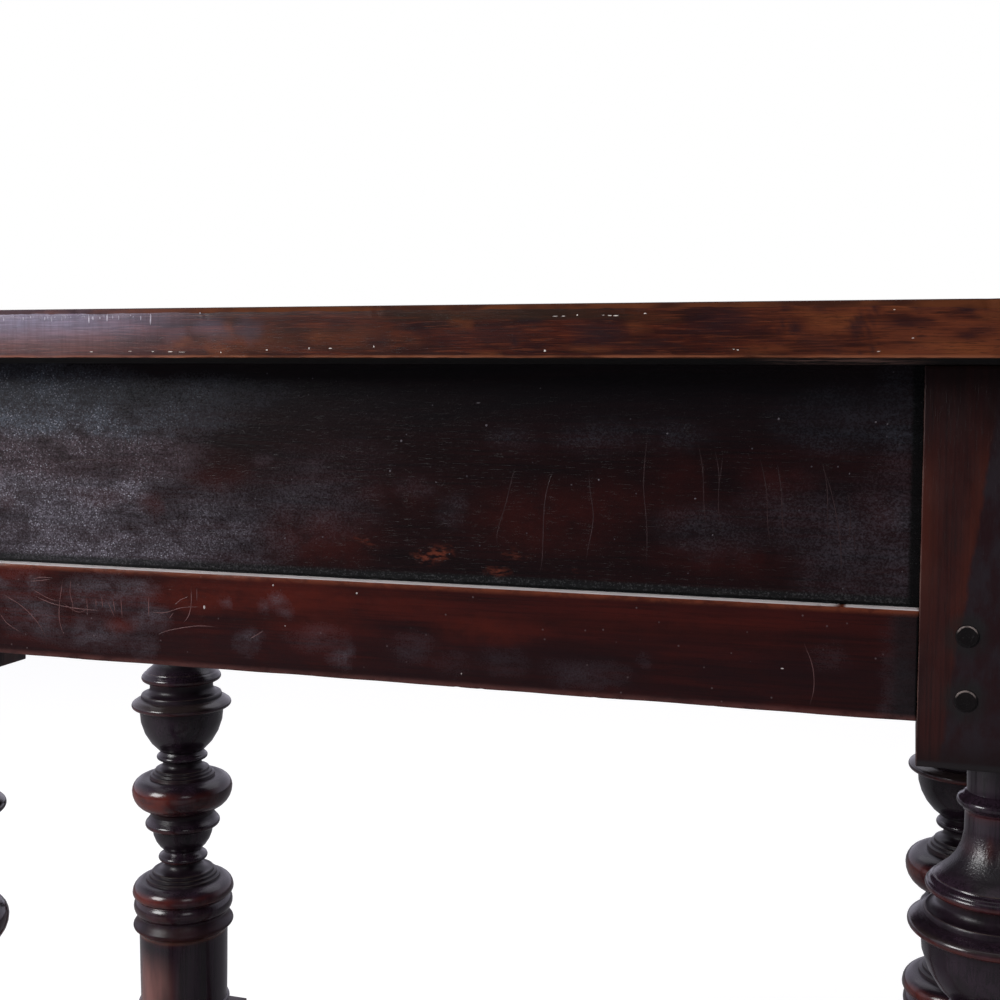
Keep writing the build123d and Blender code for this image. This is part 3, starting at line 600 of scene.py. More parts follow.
def turned_finish(name):
    """The turnings: satin black with a purple cast, red-brown on the rims and bellies that dusters rub, laid only on
    the sides the lamps and the floor light and so partly painted light, with painted shade in the hollows and painted
    sheen down the column.
    """
    wood, colour, relief = stained_wood(name, "z", paint(47, 34, 45), paint(32, 23, 30), paint(15, 12, 16), 12.0)
    recess = wood.layer("recess")
    mottle = wood.clouds(wood.sized(24, 24, 12), 4.0, 0.6)
    turned_to = wood.add("ShaderNodeSeparateXYZ", {"Vector": wood.facing}).outputs
    # The rubbed zones turn red-brown only on faces turned to the front-left and to the right, and not on faces turned
    # up: real wear, and painted light where the key light and the floor's bounce fall.
    side = wood.most(wood.times(wood.fade(turned_to["X"], 0.45, 0.05, 0.3, 1.0), wood.fade(turned_to["Y"], 0.2, -0.55)),
                     wood.times(wood.band(turned_to["X"], 0.60, 0.90, 0.25), 0.7))
    upwards = wood.fade(turned_to["Z"], 0.80, 0.25)
    rubbed = wood.times(wood.layer("worn"), side, upwards, wood.fade(mottle, 0.32, 0.64, 0.35, 1.0))
    colour = wood.tint(wood.times(rubbed, 0.85), colour, paint(106, 40, 28))
    # Painted shade: darker deep in the hollows, where the neighbouring parts of the turning shield them.
    colour = wood.tint(wood.fade(recess, 0.12, 0.7, 0.0, 0.5), colour, paint(19, 14, 16))
    # A light warm streak down the front-left of the plain column: worn wood and painted sheen.
    streak = wood.clouds(wood.sized(13, 13, 70), 3.0, 0.5)
    column = wood.times(wood.fade(wood.z, 0.2340, 0.1960), wood.fade(wood.z, 0.160, 0.165))
    plain = wood.times(column, wood.fade(turned_to["X"], 0.50, -0.30), wood.fade(turned_to["X"], -0.90, -0.60),
                       wood.fade(turned_to["Y"], 0.0, -0.4), wood.fade(streak, 0.25, 0.70, 0.5, 1.0))
    colour = wood.tint(plain, colour, paint(134, 90, 84))
    bell = wood.times(wood.fade(wood.z, 0.486, 0.494), wood.fade(wood.z, 0.516, 0.508))
    worn_bell = wood.times(bell, wood.band(turned_to["X"], -0.30, -0.12, 0.10), wood.fade(turned_to["Y"], 0.0, -0.4),
                           wood.fade(wood.z, 0.496, 0.506), wood.fade(streak, 0.30, 0.55, 0.3, 1.0))
    colour = wood.tint(wood.times(bell, 0.5), colour, paint(25, 23, 27))
    colour = wood.tint(wood.times(worn_bell, 0.35), colour, paint(80, 38, 34))
    low_strip = wood.band(wood.z, 0.2365, 0.2410, 0.0012)
    colour = wood.tint(wood.times(low_strip, wood.fade(mottle, 0.3, 0.6, 0.2, 0.7)), colour, paint(90, 56, 46))
    flat = wood.times(wood.band(wood.z, 0.4510, 0.4600, 0.0015), wood.fade(turned_to["Z"], 0.1, 0.5))
    colour = wood.tint(wood.times(flat, 0.6), colour, paint(56, 47, 42))
    crest = wood.times(wood.layer("bare"), wood.fade(mottle, 0.35, 0.6, 0.25, 0.7))
    colour = wood.tint(crest, colour, paint(98, 86, 72))
    dust = wood.clouds(wood.sized(1.3, 1.3, 1.6), 2.0, 0.7)
    dull = wood.band(wood.z, 0.2395, 0.2545, 0.0020)
    colour = wood.tint(wood.times(dull, wood.fade(mottle, 0.3, 0.6, 0.05, 0.4)), colour, paint(58, 31, 26))
    dusty = wood.most(wood.fade(recess, 0.10, 0.45), wood.times(bell, 0.6), wood.times(dull, 0.6))
    relief = wood.plus(wood.times(relief, 0.4), wood.times(dust, wood.plus(wood.times(dusty, 1.5), wood.times(bell, 4.0))))
    roughness = wood.plus(wood.fade(mottle, 0.3, 0.7, 0.16, 0.21), wood.times(dusty, 0.14))
    roughness = wood.plus(roughness, wood.times(dull, 0.08))
    specular = wood.most(wood.fade(recess, 0.10, 0.60, 0.5, 0.20), wood.times(bell, 0.5))
    specular = wood.times(specular, wood.fade(dull, 0.0, 1.0, 1.0, 0.4))
    return wood.finish(colour, roughness, wood.bump(relief, 0.05), specular)


def top_finish(name):
    """The top boards: red-brown, orange where worn, stained purple-black, with an ochre rubbed arris, a painted sheen
    at the left end of the edge, painted glints on its marks and painted shade under it.
    """
    wood = Finish(name)
    figure = wood.clouds(wood.sized(60, 16, 7), 4.0, 0.6, 0.7)
    lines = wood.clouds(wood.sized(24, 3, 0.9), 4.0, 0.62, 0.5)
    pores = wood.fade(wood.clouds(wood.sized(7, 1.6, 0.6), 2.0, 0.6), 0.58, 0.70)
    colour = wood.tint(wood.fade(figure, 0.34, 0.66), paint(42, 16, 12), paint(74, 28, 16))
    right = wood.fade(wood.x, 0.195, 0.275)
    colour = wood.tint(wood.times(right, wood.fade(figure, 0.30, 0.60, 0.3, 0.9)), colour, paint(100, 50, 31))
    soft = wood.clouds(wood.sized(34, 10, 12), 3.0, 0.55, 0.4)
    colour = wood.tint(wood.fade(soft, 0.50, 0.34, 0.0, 0.6), colour, paint(42, 20, 22))
    colour = wood.tint(wood.times(wood.layer("worn"), wood.fade(lines, 0.36, 0.60, 0.1, 0.9)), colour,
                       paint(132, 72, 40))
    colour = wood.tint(wood.fade(lines, 0.46, 0.36, 0.0, 0.35), colour, paint(122, 62, 36))
    colour = wood.tint(wood.fade(lines, 0.50, 0.64, 0.0, 0.6), colour, paint(34, 15, 13))
    colour = wood.tint(wood.times(pores, 0.5), colour, paint(28, 15, 15))
    stain = wood.times(wood.layer("dark"), wood.fade(lines, 0.25, 0.55, 0.75, 1.0))
    colour = wood.tint(wood.times(stain, 0.9), colour, paint(36, 20, 25))
    near_edge = wood.most(wood.fade(wood.math("ABSOLUTE", wood.y), 0.2490, 0.2525),
                          wood.fade(wood.math("ABSOLUTE", wood.x), 0.4575, 0.4610))
    chamfer = wood.times(wood.layer("bare"), near_edge)
    ochre = wood.tint(wood.fade(soft, 0.35, 0.60), paint(60, 30, 20), paint(94, 50, 28))
    colour = wood.tint(wood.times(chamfer, wood.fade(figure, 0.25, 0.5, 0.6, 1.0)), colour, ochre)
    under_band = wood.times(wood.fade(wood.z, 0.7905, 0.7925), wood.band(wood.x, 0.02, 0.16, 0.03),
                            wood.math("SUBTRACT", 1.0, chamfer), wood.fade(wood.y, -0.2500, -0.2540))
    colour = wood.tint(wood.times(under_band, 0.6), colour, paint(44, 32, 22))
    crest = wood.times(wood.fade(wood.z, 0.7992, 0.7997), wood.fade(wood.y, -0.2500, -0.2530))
    colour = wood.tint(wood.times(crest, wood.fade(soft, 0.4, 0.6, 0.2, 0.8)), colour, paint(30, 20, 17))
    foot = wood.times(wood.fade(wood.z, 0.7732, 0.7720), wood.fade(soft, 0.35, 0.55, 0.35, 1.0))
    colour = wood.tint(wood.times(foot, 0.85), colour, paint(140, 84, 58))
    # Painted sheen: the lamps' reflection down the left end of the edge, pinkish low and bluish high, joined by the
    # TOP_FILM patches.
    painted_sheen = wood.times(wood.fade(wood.x, -0.060, -0.200), wood.fade(wood.z, 0.771, 0.794, 0.40, 1.0),
                      wood.fade(chamfer, 0.0, 1.0, 1.0, 0.2))
    tool_marks = wood.clouds(wood.sized(1.6, 1.6, 16), 2.0, 0.6)
    painted_sheen = wood.times(painted_sheen, wood.fade(tool_marks, 0.35, 0.60, 0.85, 1.0), wood.fade(lines, 0.30, 0.60, 1.0, 0.7))
    painted_sheen = wood.most(wood.times(painted_sheen, wood.fade(wood.y, -0.2460, -0.2530)), wood.layer("film_and_sheen"))
    cast = wood.tint(wood.fade(wood.z, 0.776, 0.792), paint(166, 124, 128), paint(166, 158, 186))
    colour = wood.tint(wood.times(painted_sheen, 0.62), colour, cast)
    # Painted shade over dirt: the bevelled underside of the edge nearly black, with scuffed lighter wood towards the
    # right end.
    under = wood.fade(wood.z, 0.77135, 0.77105)
    scuffed = wood.times(wood.band(wood.x, 0.235, 0.300, 0.02), wood.fade(lines, 0.45, 0.60))
    colour = wood.tint(under, colour, wood.tint(scuffed, paint(27, 26, 26), paint(120, 92, 84)))
    # Painted glints: the marks down the left end of the edge coloured near white.
    painted_glints = wood.times(wood.layer("score"), 0.75)
    colour = wood.tint(painted_glints, colour, paint(225, 218, 232))
    colour = wood.tint(wood.layer("fleck"), colour, paint(232, 222, 214))
    relief = wood.plus(wood.times(lines, 0.7), wood.times(pores, -0.5))
    tooled = wood.times(tool_marks, wood.fade(wood.x, -0.110, -0.185), wood.fade(wood.z, 0.776, 0.794))
    relief = wood.plus(relief, wood.times(tooled, 0.8))
    roughness = wood.plus(wood.fade(soft, 0.35, 0.7, 0.32, 0.42), wood.times(wood.most(under, chamfer), 0.35))
    return wood.finish(colour, roughness, wood.bump(relief, 0.07), wood.fade(chamfer, 0.0, 1.0, 0.18, 0.08))


def peg_finish(name):
    """End grain of the pegs: the upper part of the rim is lighter, a painted highlight where light from above catches
    it.
    """
    wood, colour, relief = stained_wood(name, "y", paint(21, 16, 17), paint(16, 12, 13), paint(9, 7, 8), 21.0)
    rim = wood.fade(wood.layer("recess"), 0.25, 0.9)
    chipped = wood.fade(wood.clouds(wood.sized(3, 3, 3), 2.0), 0.35, 0.60, 0.35, 1.0)
    # Painted highlight on the upper part of the rim.
    colour = wood.tint(wood.times(rim, chipped), colour, paint(132, 120, 116))
    return wood.finish(colour, wood.fade(relief, 0.0, 0.6, 0.32, 0.45), wood.bump(relief, 0.12), specular=0.2)


def bare_finish(name, along):
    """Unpolished wood inside the frame."""
    wood, colour, relief = stained_wood(name, along, paint(112, 72, 48), paint(78, 47, 33), paint(46, 29, 22), 27.0)
    return wood.finish(colour, wood.fade(relief, 0.0, 0.6, 0.6, 0.75), wood.bump(relief, 0.15))


# ---------------------------------------------------------------- shapes

TURN_STEPS = 128          # facets round a turning
ARC_STEP = math.radians(14)
CORNER_EASE = 0.25        # how far polishing has rounded each quirk and edge of the turning
CORNER_ANGLE = math.radians(22)
CREST_ANGLE = math.radians(14)
HAND_TURNED = 0.25        # how far the turning strays inwards from a true circle
LONG_STRETCH = 5.0        # longest plain stretch of the turning's outline
SHAFT_SEAT = 2.0          # how far each end of the turning runs into its square
RECESS_REACH = 15.0       # height over which a part of the turning shields its neighbours
RECESS_DEPTH = 16.0       # a hollow this deep is fully dark
TOUCH = 1e-6              # metres within which two faces meet
LAYERS = ("recess", "film_and_sheen", "worn", "bare", "dark", "score", "fleck")


def arc_between(start, end, bulge):
    """Points after start along the arc to end that stands out by bulge from the straight line."""
    chord = end - start
    steps = max(1, math.ceil(chord.length / LONG_STRETCH))
    if not bulge:
        return [start.lerp(end, i / steps) for i in range(1, steps + 1)]
    outward = Vector((-chord.y, chord.x)).normalized() * math.copysign(1, bulge)
    rise = abs(bulge)
    radius = (chord.length ** 2 / 4 + rise ** 2) / (2 * rise)
    centre = (start + end) / 2 - outward * (radius - rise)
    half_sweep = math.acos(max(-1.0, min(1.0, (radius - rise) / radius)))
    steps = max(3, math.ceil(2 * half_sweep / ARC_STEP))
    points = []
    for i in range(1, steps + 1):
        angle = -half_sweep + 2 * half_sweep * i / steps
        across = chord.normalized() * math.sin(angle) + outward * math.cos(angle)
        points.append(centre + across * radius)
    return points


def outline_points(rows):
    """Outline of a turning from its rows, closed to the axis at both ends."""
    top, foot = rows[0], rows[-1]
    points = [Vector((0, top[1])), Vector(top[:2])]
    for row, following in zip(rows, rows[1:]):
        points += arc_between(Vector(row[:2]), Vector(following[:2]), following[2])
    return points + [Vector((0, foot[1]))]


def eased_corners(points):
    """Rounds off each sharp corner of an outline."""
    eased = [points[0]]
    for before, corner, after in zip(points, points[1:], points[2:]):
        back, on = before - corner, after - corner
        if min(back.length, on.length) < 1e-6 or back.angle(on) > math.pi - CORNER_ANGLE:
            eased.append(corner)
            continue
        reach = [min(CORNER_EASE, side.length * 0.4) for side in (back, on)]
        start, end = corner + back.normalized() * reach[0], corner + on.normalized() * reach[1]
        eased += [start, (start + end + corner * 2) / 4, end]
    return eased + [points[-1]]


def recesses(points):
    """How far each outline point lies in the shelter of its neighbours, 0 on a crest to 1 in a quirk."""
    depths = []
    for point in points:
        around = [p.x - abs(p.y - point.y) * 0.35 for p in points if abs(p.y - point.y) < RECESS_REACH]
        depths.append(min(1.0, max(0.0, (max(around) - point.x) / RECESS_DEPTH)))
    return depths


def crests(points):
    """1 on every crisp outer edge of an outline and 0 elsewhere."""
    marks = [0.0]
    for before, point, after in zip(points, points[1:], points[2:]):
        back, on = point - before, after - point
        turned = back.x * on.y - back.y * on.x
        sharp = 1e-6 < min(back.length, on.length) and max(back.length, on.length) < 0.6
        sharp = sharp and back.angle(on) > CREST_ANGLE
        marks.append(1.0 if sharp and turned < 0 else 0.0)
    return marks + [0.0]


def spun(rows, centre, rubs=()):
    """Spins a turning about an upright axis, with each vertex told how recessed and how rubbed it is."""
    bm = new_part()
    recess, worn, bare = [bm.verts.layers.float[name] for name in ("recess", "worn", "bare")]
    points = eased_corners(outline_points(rows))
    verts = []
    for point, depth, crest in zip(points, recesses(points), crests(points)):
        vert = bm.verts.new((centre.x + point.x * MM, centre.y, point.y * MM))
        vert[recess] = depth
        vert[worn] = max([strength * min(1.0, 3 * (point.y - foot) / (head - foot), 3 * (head - point.y) / (head - foot))
                          for foot, head, strength in rubs if foot <= point.y <= head], default=0.0)
        vert[bare] = crest
        verts.append(vert)
    edges = [bm.edges.new(pair) for pair in zip(verts, verts[1:])]
    bmesh.ops.spin(bm, geom=verts + edges, cent=centre, axis=(0, 0, 1), dvec=(0, 0, 0),
                   angle=math.tau, steps=TURN_STEPS, use_merge=True, use_duplicate=False)
    for vert in bm.verts:
        away = Vector((vert.co.x - centre.x, vert.co.y - centre.y, 0))
        uneven = 0.5 + 0.5 * noise.noise(vert.co * 22) + max(0.0, noise.noise(vert.co * 130) - 0.5) * 3
        if away.length > 5 * MM:
            vert.co -= away.normalized() * uneven * HAND_TURNED * MM
    return bm


def new_part():
    bm = bmesh.new()
    for layer in LAYERS:
        bm.verts.layers.float.new(layer)
    return bm


def sawn(low, high, spacing=(0, 0, 0)):
    """Box between two corners in metres, divided about every so many millimetres along X, Y and Z."""
    middle, size = (low + high) / 2, high - low
    bm = new_part()
    bmesh.ops.create_cube(bm, size=1, matrix=Matrix.Translation(middle) @ Matrix.Diagonal((*size, 1)))
    for axis, step in enumerate(spacing):
        if step:
            divide(bm, axis, step * MM)
    return bm


def divide(bm, axis, step):
    """Divides every edge that runs along an axis into equal stretches."""
    runs = {}
    for edge in bm.edges:
        run = edge.verts[1].co - edge.verts[0].co
        if abs(run[axis]) > 0.99 * run.length:
            runs.setdefault(round(run.length / step), []).append(edge)
    for count, edges in runs.items():
        if count > 1:
            bmesh.ops.subdivide_edges(bm, edges=edges, cuts=count - 1, use_grid_fill=True)


def ease_arrises(bm, radius, steeper_than=60):
    """Rounds every arris of a sawn part."""
    bm.normal_update()
    limit = math.radians(steeper_than)
    edges = [e for e in bm.edges if e.calc_face_angle(0) > limit]
    bmesh.ops.bevel(bm, geom=edges, offset=radius * MM, offset_type="OFFSET", affect="EDGES", segments=3,
                    profile=0.5, material=-1)


def stain(bm, layer, patches, face):
    """Paints soft patches with uneven rims into one of the painted layers, wear, stains, or the film that also stands
    for painted sheen, on the front of a part.
    """
    values = bm.verts.layers.float[layer]
    for vert in bm.verts:
        if vert.co.y > face + 0.001:
            continue
        drift = noise.noise_vector(vert.co * 60) + noise.noise_vector(vert.co * 170) * 0.5
        x, z = vert.co.x / MM + drift.x * 6, vert.co.z / MM + drift.z * 3
        for middle_x, middle_z, long, high, strength in patches:
            reach = ((x - middle_x) / long) ** 2 + ((z - middle_z) / high) ** 2
            if reach < 1:
                vert[values] = max(vert[values], strength * (1 - reach) ** 1.2)


def wear(bm, low, high, depth, seed):
    """Rubs the arrises of a part away unevenly, always inwards, with a nick here and there."""
    for vert in bm.verts:
        gaps = [min(vert.co[i] - low[i], high[i] - vert.co[i]) / MM for i in range(3)]
        near = [i for i in range(3) if gaps[i] < 1.2]
        if len(near) < 2:
            continue
        spot = vert.co * 28 + Vector((seed, seed, seed))
        rubbed = max(0.0, 0.5 + noise.noise(spot)) * 0.6
        nick = max(0.0, noise.noise(spot * 5.3) - 0.42) * 4
        amount = depth * (rubbed + nick) * MM
        for i in near:
            vert.co[i] += amount if vert.co[i] - low[i] < high[i] - vert.co[i] else -amount


def smooth_run(points, step=1.5):
    """Points about every step along a smooth curve through some points."""
    points = [Vector(point) for point in points]
    if len(points) == 2:
        points.insert(1, (points[0] + points[1]) / 2)
    ends = [points[0] * 2 - points[1]] + points + [points[-1] * 2 - points[-2]]
    run = []
    for before, start, end, after in zip(ends, ends[1:], ends[2:], ends[3:]):
        count = max(2, math.ceil((end - start).length / step))
        for i in range(count):
            t = i / count
            run.append(0.5 * (start * 2 + (end - before) * t + (before * 2 - start * 5 + end * 4 - after) * t * t
                              + (start * 3 - before - end * 3 + after) * t * t * t))
    return run + [points[-1]]


def score(face, points, strength, width=0.42, proud=0.05):
    """A fine burr thrown up by a scratch on an upright front, thinning away at both ends."""
    bm = new_part()
    marked = bm.verts.layers.float["score"]
    run = smooth_run(points)
    rows = []
    for i, point in enumerate(run):
        ahead = (run[min(i + 1, len(run) - 1)] - run[max(i - 1, 0)]).normalized()
        side = Vector((-ahead.y, ahead.x)) * width / 2
        taper = min(1.0, 0.15 + 4 * min(i, len(run) - 1 - i) / len(run))
        uneven = 0.75 + 0.5 * noise.noise(Vector((point.x, point.y, strength)) * 0.23)
        row = []
        for across, out in ((-1, 0.0), (0, -proud), (1, 0.0), (0, 0.2)):
            spot = point + side * across * taper
            vert = bm.verts.new((spot.x * MM, face + out * MM, spot.y * MM))
            vert[marked] = strength * taper * uneven
            row.append(vert)
        rows.append(row)
    for row, following in zip(rows, rows[1:]):
        for i in range(4):
            j = (i + 1) % 4
            bm.faces.new((row[i], row[j], following[j], following[i]))
    bm.faces.new(rows[0])
    bm.faces.new(rows[-1])
    return bm


def fleck(face, place, strength=1.0):
    """A flat crumb of whitewash stuck to an upright front."""
    x, z, long, high = place
    bm = new_part()
    middle = Matrix.Translation((x * MM, face, z * MM))
    shape = Matrix.Diagonal((long * 0.8 * MM, 0.12 * MM, high * 0.8 * MM, 1))
    bmesh.ops.create_icosphere(bm, subdivisions=1, radius=1, matrix=middle @ shape)
    marked = bm.verts.layers.float["fleck"]
    for vert in bm.verts:
        vert[marked] = strength
    return bm


def marks(face, scores, flecks, strength=1.0):
    """All the burrs and crumbs of one front."""
    parts = [score(face, run[1:], run[0] * strength) for run in scores]
    return parts + [fleck(face, place) for place in flecks]


def joined(*parts):
    """The shells of one piece in one mesh."""
    whole = parts[0]
    for part in parts[1:]:
        mesh = bpy.data.meshes.new("part")
        part.to_mesh(mesh)
        part.free()
        whole.from_mesh(mesh)
        bpy.data.meshes.remove(mesh)
    return whole


def add_piece(bm, name, materials, nodes, smooth_below=32):
    """Makes a finished mesh into a piece of the table that stands for some CAD nodes."""
    bmesh.ops.remove_doubles(bm, verts=bm.verts, dist=0.01 * MM)
    bmesh.ops.recalc_face_normals(bm, faces=bm.faces)
    mesh = bpy.data.meshes.new(name)
    bm.to_mesh(mesh)
    bm.free()
    for material in materials:
        mesh.materials.append(material)
    mesh.shade_smooth()
    mesh.set_sharp_from_angle(angle=math.radians(smooth_below))
    piece = bpy.data.objects.new(name, mesh)
    bpy.context.collection.objects.link(piece)
    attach(piece, "root")
    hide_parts(*nodes)
    return piece


def box_middle(node):
    low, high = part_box(node)
    return (low + high) / 2


def drift_at(height, shifts):
    """How far a leg's moulding at this height strays up or down from the pattern."""
    for above, below in zip(shifts, shifts[1:]):
        if above[0] >= height >= below[0]:
            return above[1] + (below[1] - above[1]) * (above[0] - height) / (above[0] - below[0])
    return 0.0


def make_leg(end, side, materials):
    """One leg: two squares and the turning between them."""
    node = f"leg_{end}_{side}"
    centre = box_middle(node)
    centre.z = 0
    shifts = LEG_DRIFT[f"{end}_{side}"]
    rows = [(LEG_TURNING[0][0], SQUARE_TOP_FOOT + SHAFT_SEAT, 0)]
    rows += [(radius, height + drift_at(height, shifts), bulge) for radius, height, bulge in LEG_TURNING]
    rows.append((LEG_TURNING[-1][0], SQUARE_LOW_HEAD - SHAFT_SEAT, 0))
    rubs = [(foot + drift_at(foot, shifts), head + drift_at(head, shifts), strength) for foot, head, strength in LEG_RUBS]
    shells = [spun(rows, centre, rubs)]
    corner = Vector((SQUARE / 2, SQUARE / 2, 0)) * MM
    for foot, head in ((SQUARE_TOP_FOOT * MM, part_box(node)[1].z), (SQUARE_LOW_FOOT * MM, SQUARE_LOW_HEAD * MM)):
        low, high = centre - corner, centre + corner
        low.z, high.z = foot, head
        square = sawn(low, high, (0, 0, 3))
        ease_arrises(square, 0.8)
        wear(square, low, high, 0.5, low.x * 40 + head)
        for face in square.faces:
            face.material_index = 1
        shells.append(square)
    return add_piece(joined(*shells), f"turned_{node}", materials, [node])


def make_foot(end, side, materials):
    node = f"foot_{end}_{side}"
    centre = box_middle(node)
    centre.z = 0
    return add_piece(spun(FOOT_TURNING, centre), f"turned_{node}", materials, [node])


def make_rail(node, axis, material):
    """A rail with rounded, rubbed arrises and its tenons."""
    low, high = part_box(node)
    body_low, body_high = low.copy(), high.copy()
    body_low[axis] += (TENON_LONG - SHOULDER_LAP) * MM
    body_high[axis] -= (TENON_LONG - SHOULDER_LAP) * MM
    spacing = [0, 0, 2.5]
    spacing[axis] = 2.5
    body = sawn(body_low, body_high, spacing)
    ease_arrises(body, 0.7)
    wear(body, body_low, body_high, 0.5, 3.0)
    parts = [body]
    if node == "rail_front":
        stain(body, "film_and_sheen", RAIL_FILM, low.y)
        stain(body, "worn", RAIL_WORN, low.y)
        parts += marks(body_low.y, RAIL_SCORES, RAIL_FLECKS)
    across = 1 - axis
    middle = (low + high) / 2
    low[across] = middle[across] - TENON_THICK / 2 * MM
    high[across] = middle[across] + TENON_THICK / 2 * MM
    low.z += TENON_SHOULDER * MM
    high.z -= (TENON_SHOULDER + GROOVE) * MM
    return add_piece(joined(*parts, sawn(low, high)), f"rubbed_{node}", [material], [node])


def make_frieze(node, axis, material):
    """A frieze board standing on its rail, with its tongues into the rail and the legs."""
    low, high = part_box(node)
    body_low, body_high = low.copy(), high.copy()
    body_low[axis] += GROOVE * MM
    body_high[axis] -= GROOVE * MM
    body_low.z = LEDGE * MM
    spacing = [0, 0, 3]
    spacing[axis] = 3
    body = sawn(body_low, body_high, spacing)
    parts = [body]
    if node == "frieze_front":
        stain(body, "film_and_sheen", FRIEZE_FILM, low.y)
        stain(body, "worn", FRIEZE_WORN, low.y)
        stain(body, "bare", FRIEZE_BARE, low.y)
        parts += marks(low.y, FRIEZE_SCORES, FRIEZE_FLECKS)
    across = 1 - axis
    middle = (low + high) / 2
    low[across] = middle[across] - GROOVE / 2 * MM
    high[across] = middle[across] + GROOVE / 2 * MM
    return add_piece(joined(*parts, sawn(low, high)), f"polished_{node}", [material], [node])


def band_height(x):
    """How far down the rubbed band reaches at a place along the top, in millimetres."""
    middle = math.exp(-((x / MM - 120) / 70) ** 2)
    return 2.8 + 2.4 * middle + 0.7 * noise.noise(Vector((x * 45, 0, 0))) + 0.3 * noise.noise(Vector((x * 190, 5, 0)))


def make_top_board(node, material):
    """One board of the top: bevelled under, rubbed down its upper arris, with the joints left crisp."""
    low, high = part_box(node)
    front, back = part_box("top_board_front")[0].y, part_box("top_board_back")[1].y
    board = sawn(low, high)
    levels = [low.z + TOP_BEVEL_HIGH * MM, high.z - WORN_BAND_HIGH * MM, high.z - 0.5 * MM,
              high.z - (WORN_BAND_HIGH + 0.3) * MM]
    levels += [high.z - drop * MM for drop in (7, 9, 12, 15, 18, 21, 24, 27)]
    for height in levels:
        geom = list(board.verts) + list(board.edges) + list(board.faces)
        bmesh.ops.bisect_plane(board, geom=geom, plane_co=(0, 0, height), plane_no=(0, 0, 1), dist=TOUCH)
    divide(board, 0, 2 * MM)
    divide(board, 1, 8 * MM)
    rubbed = board.verts.layers.float["bare"]
    for vert in board.verts:
        place = vert.co.copy()
        inward = 0.0
        ripple = 0.5 + 0.5 * noise.noise(place * 60)
        if place.z - low.z < TOUCH:
            inward = TOP_BEVEL_WIDE
        elif place.z - levels[0] < TOUCH:
            inward = 0.25 * ripple
            vert.co.z += 1.1 * MM * (noise.noise(place * 38) * 0.5 + noise.noise(place * 110) * 0.35)
        elif abs(place.z - levels[1]) < TOUCH:
            inward = 0.15 * ripple
            vert.co.z = high.z - band_height(place.x + place.y) * MM
            vert[rubbed] = 1.0
        elif abs(place.z - levels[3]) < TOUCH:
            vert.co.z = high.z - (band_height(place.x + place.y) + 0.3) * MM
        elif abs(place.z - levels[2]) < TOUCH:
            inward = WORN_BAND_DEEP * (0.4 + 0.5 * ripple)
            vert[rubbed] = 1.0
        elif high.z - place.z < TOUCH:
            inward = WORN_BAND_DEEP * (0.9 + 0.5 * ripple) + 0.5
            vert[rubbed] = 1.0
        nick = max(0.0, noise.noise(place * 85 + Vector((7, 7, 7))) - 0.45) * 3
        if place.z > levels[1] - TOUCH:
            inward += nick
        inward += MARK_ROOM
        outer = [0.0, 0.0]
        if abs(abs(place.x) - high.x) < TOUCH:
            outer[0] = math.copysign(inward, place.x)
        if place.y - front < TOUCH:
            outer[1] = -inward
        if back - place.y < TOUCH:
            outer[1] = inward
        vert.co.x -= outer[0] * MM
        vert.co.y -= outer[1] * MM
    parts = [board]
    if node == "top_board_front":
        stain(board, "film_and_sheen", TOP_FILM, front)
        stain(board, "dark", TOP_STAINS, front)
        stain(board, "worn", TOP_WORN, front)
        face = front + MARK_ROOM * MM
        parts += [score(face, run[1:], run[0], 0.9, 0.12) for run in TOP_SCORES]
        parts += [fleck(face, place) for place in TOP_FLECKS]
        chance = random.Random(4)
        start, end, count = CHATTER
        for i in range(count):
            x = start + (end - start) * (i + chance.random()) / count
            head = 796.4 - chance.random()
            drop = 0.8 + 2.6 * chance.random() ** 2
            parts.append(score(face, ((x, head), (x + 0.2, head - drop)), 0.35 + 0.75 * chance.random(), 0.8, 0.12))
    return add_piece(joined(*parts), f"worn_{node}", [material], [node])


def peg(place, outward):
    """A round peg with a rubbed rim whose upper part carries a painted highlight, driven into an upright face from a
    place on it.
    """
    outline = ((PEG_RADIUS, -PEG_LONG), (PEG_RADIUS, 0.05), (5.6, 0.40), (5.0, 0.62), (4.6, 0.56), (1.0, 0.52))
    bm = new_part()
    rim = bm.verts.layers.float["recess"]
    verts = [bm.verts.new((0, 0, -PEG_LONG * MM))]
    for radius, height in outline:
        vert = bm.verts.new((radius * MM, 0, height * MM))
        vert[rim] = 1.0 if 4.9 < radius < PEG_RADIUS else 0.0
        verts.append(vert)
    verts.append(bm.verts.new((0, 0, 0.52 * MM)))
    edges = [bm.edges.new(pair) for pair in zip(verts, verts[1:])]
    bmesh.ops.spin(bm, geom=verts + edges, cent=(0, 0, 0), axis=(0, 0, 1), dvec=(0, 0, 0),
                   angle=math.tau, steps=32, use_merge=True, use_duplicate=False)
    turn = outward.to_track_quat("Z", "Y").to_matrix().to_4x4()
    bmesh.ops.transform(bm, matrix=Matrix.Translation(place) @ turn, verts=bm.verts)
    # Only the upper part of the rim keeps its mark, for the painted highlight.
    for vert in bm.verts:
        vert[rim] *= min(1.0, max(0.0, (vert.co.z - place.z) / (4 * MM)))
    return bm


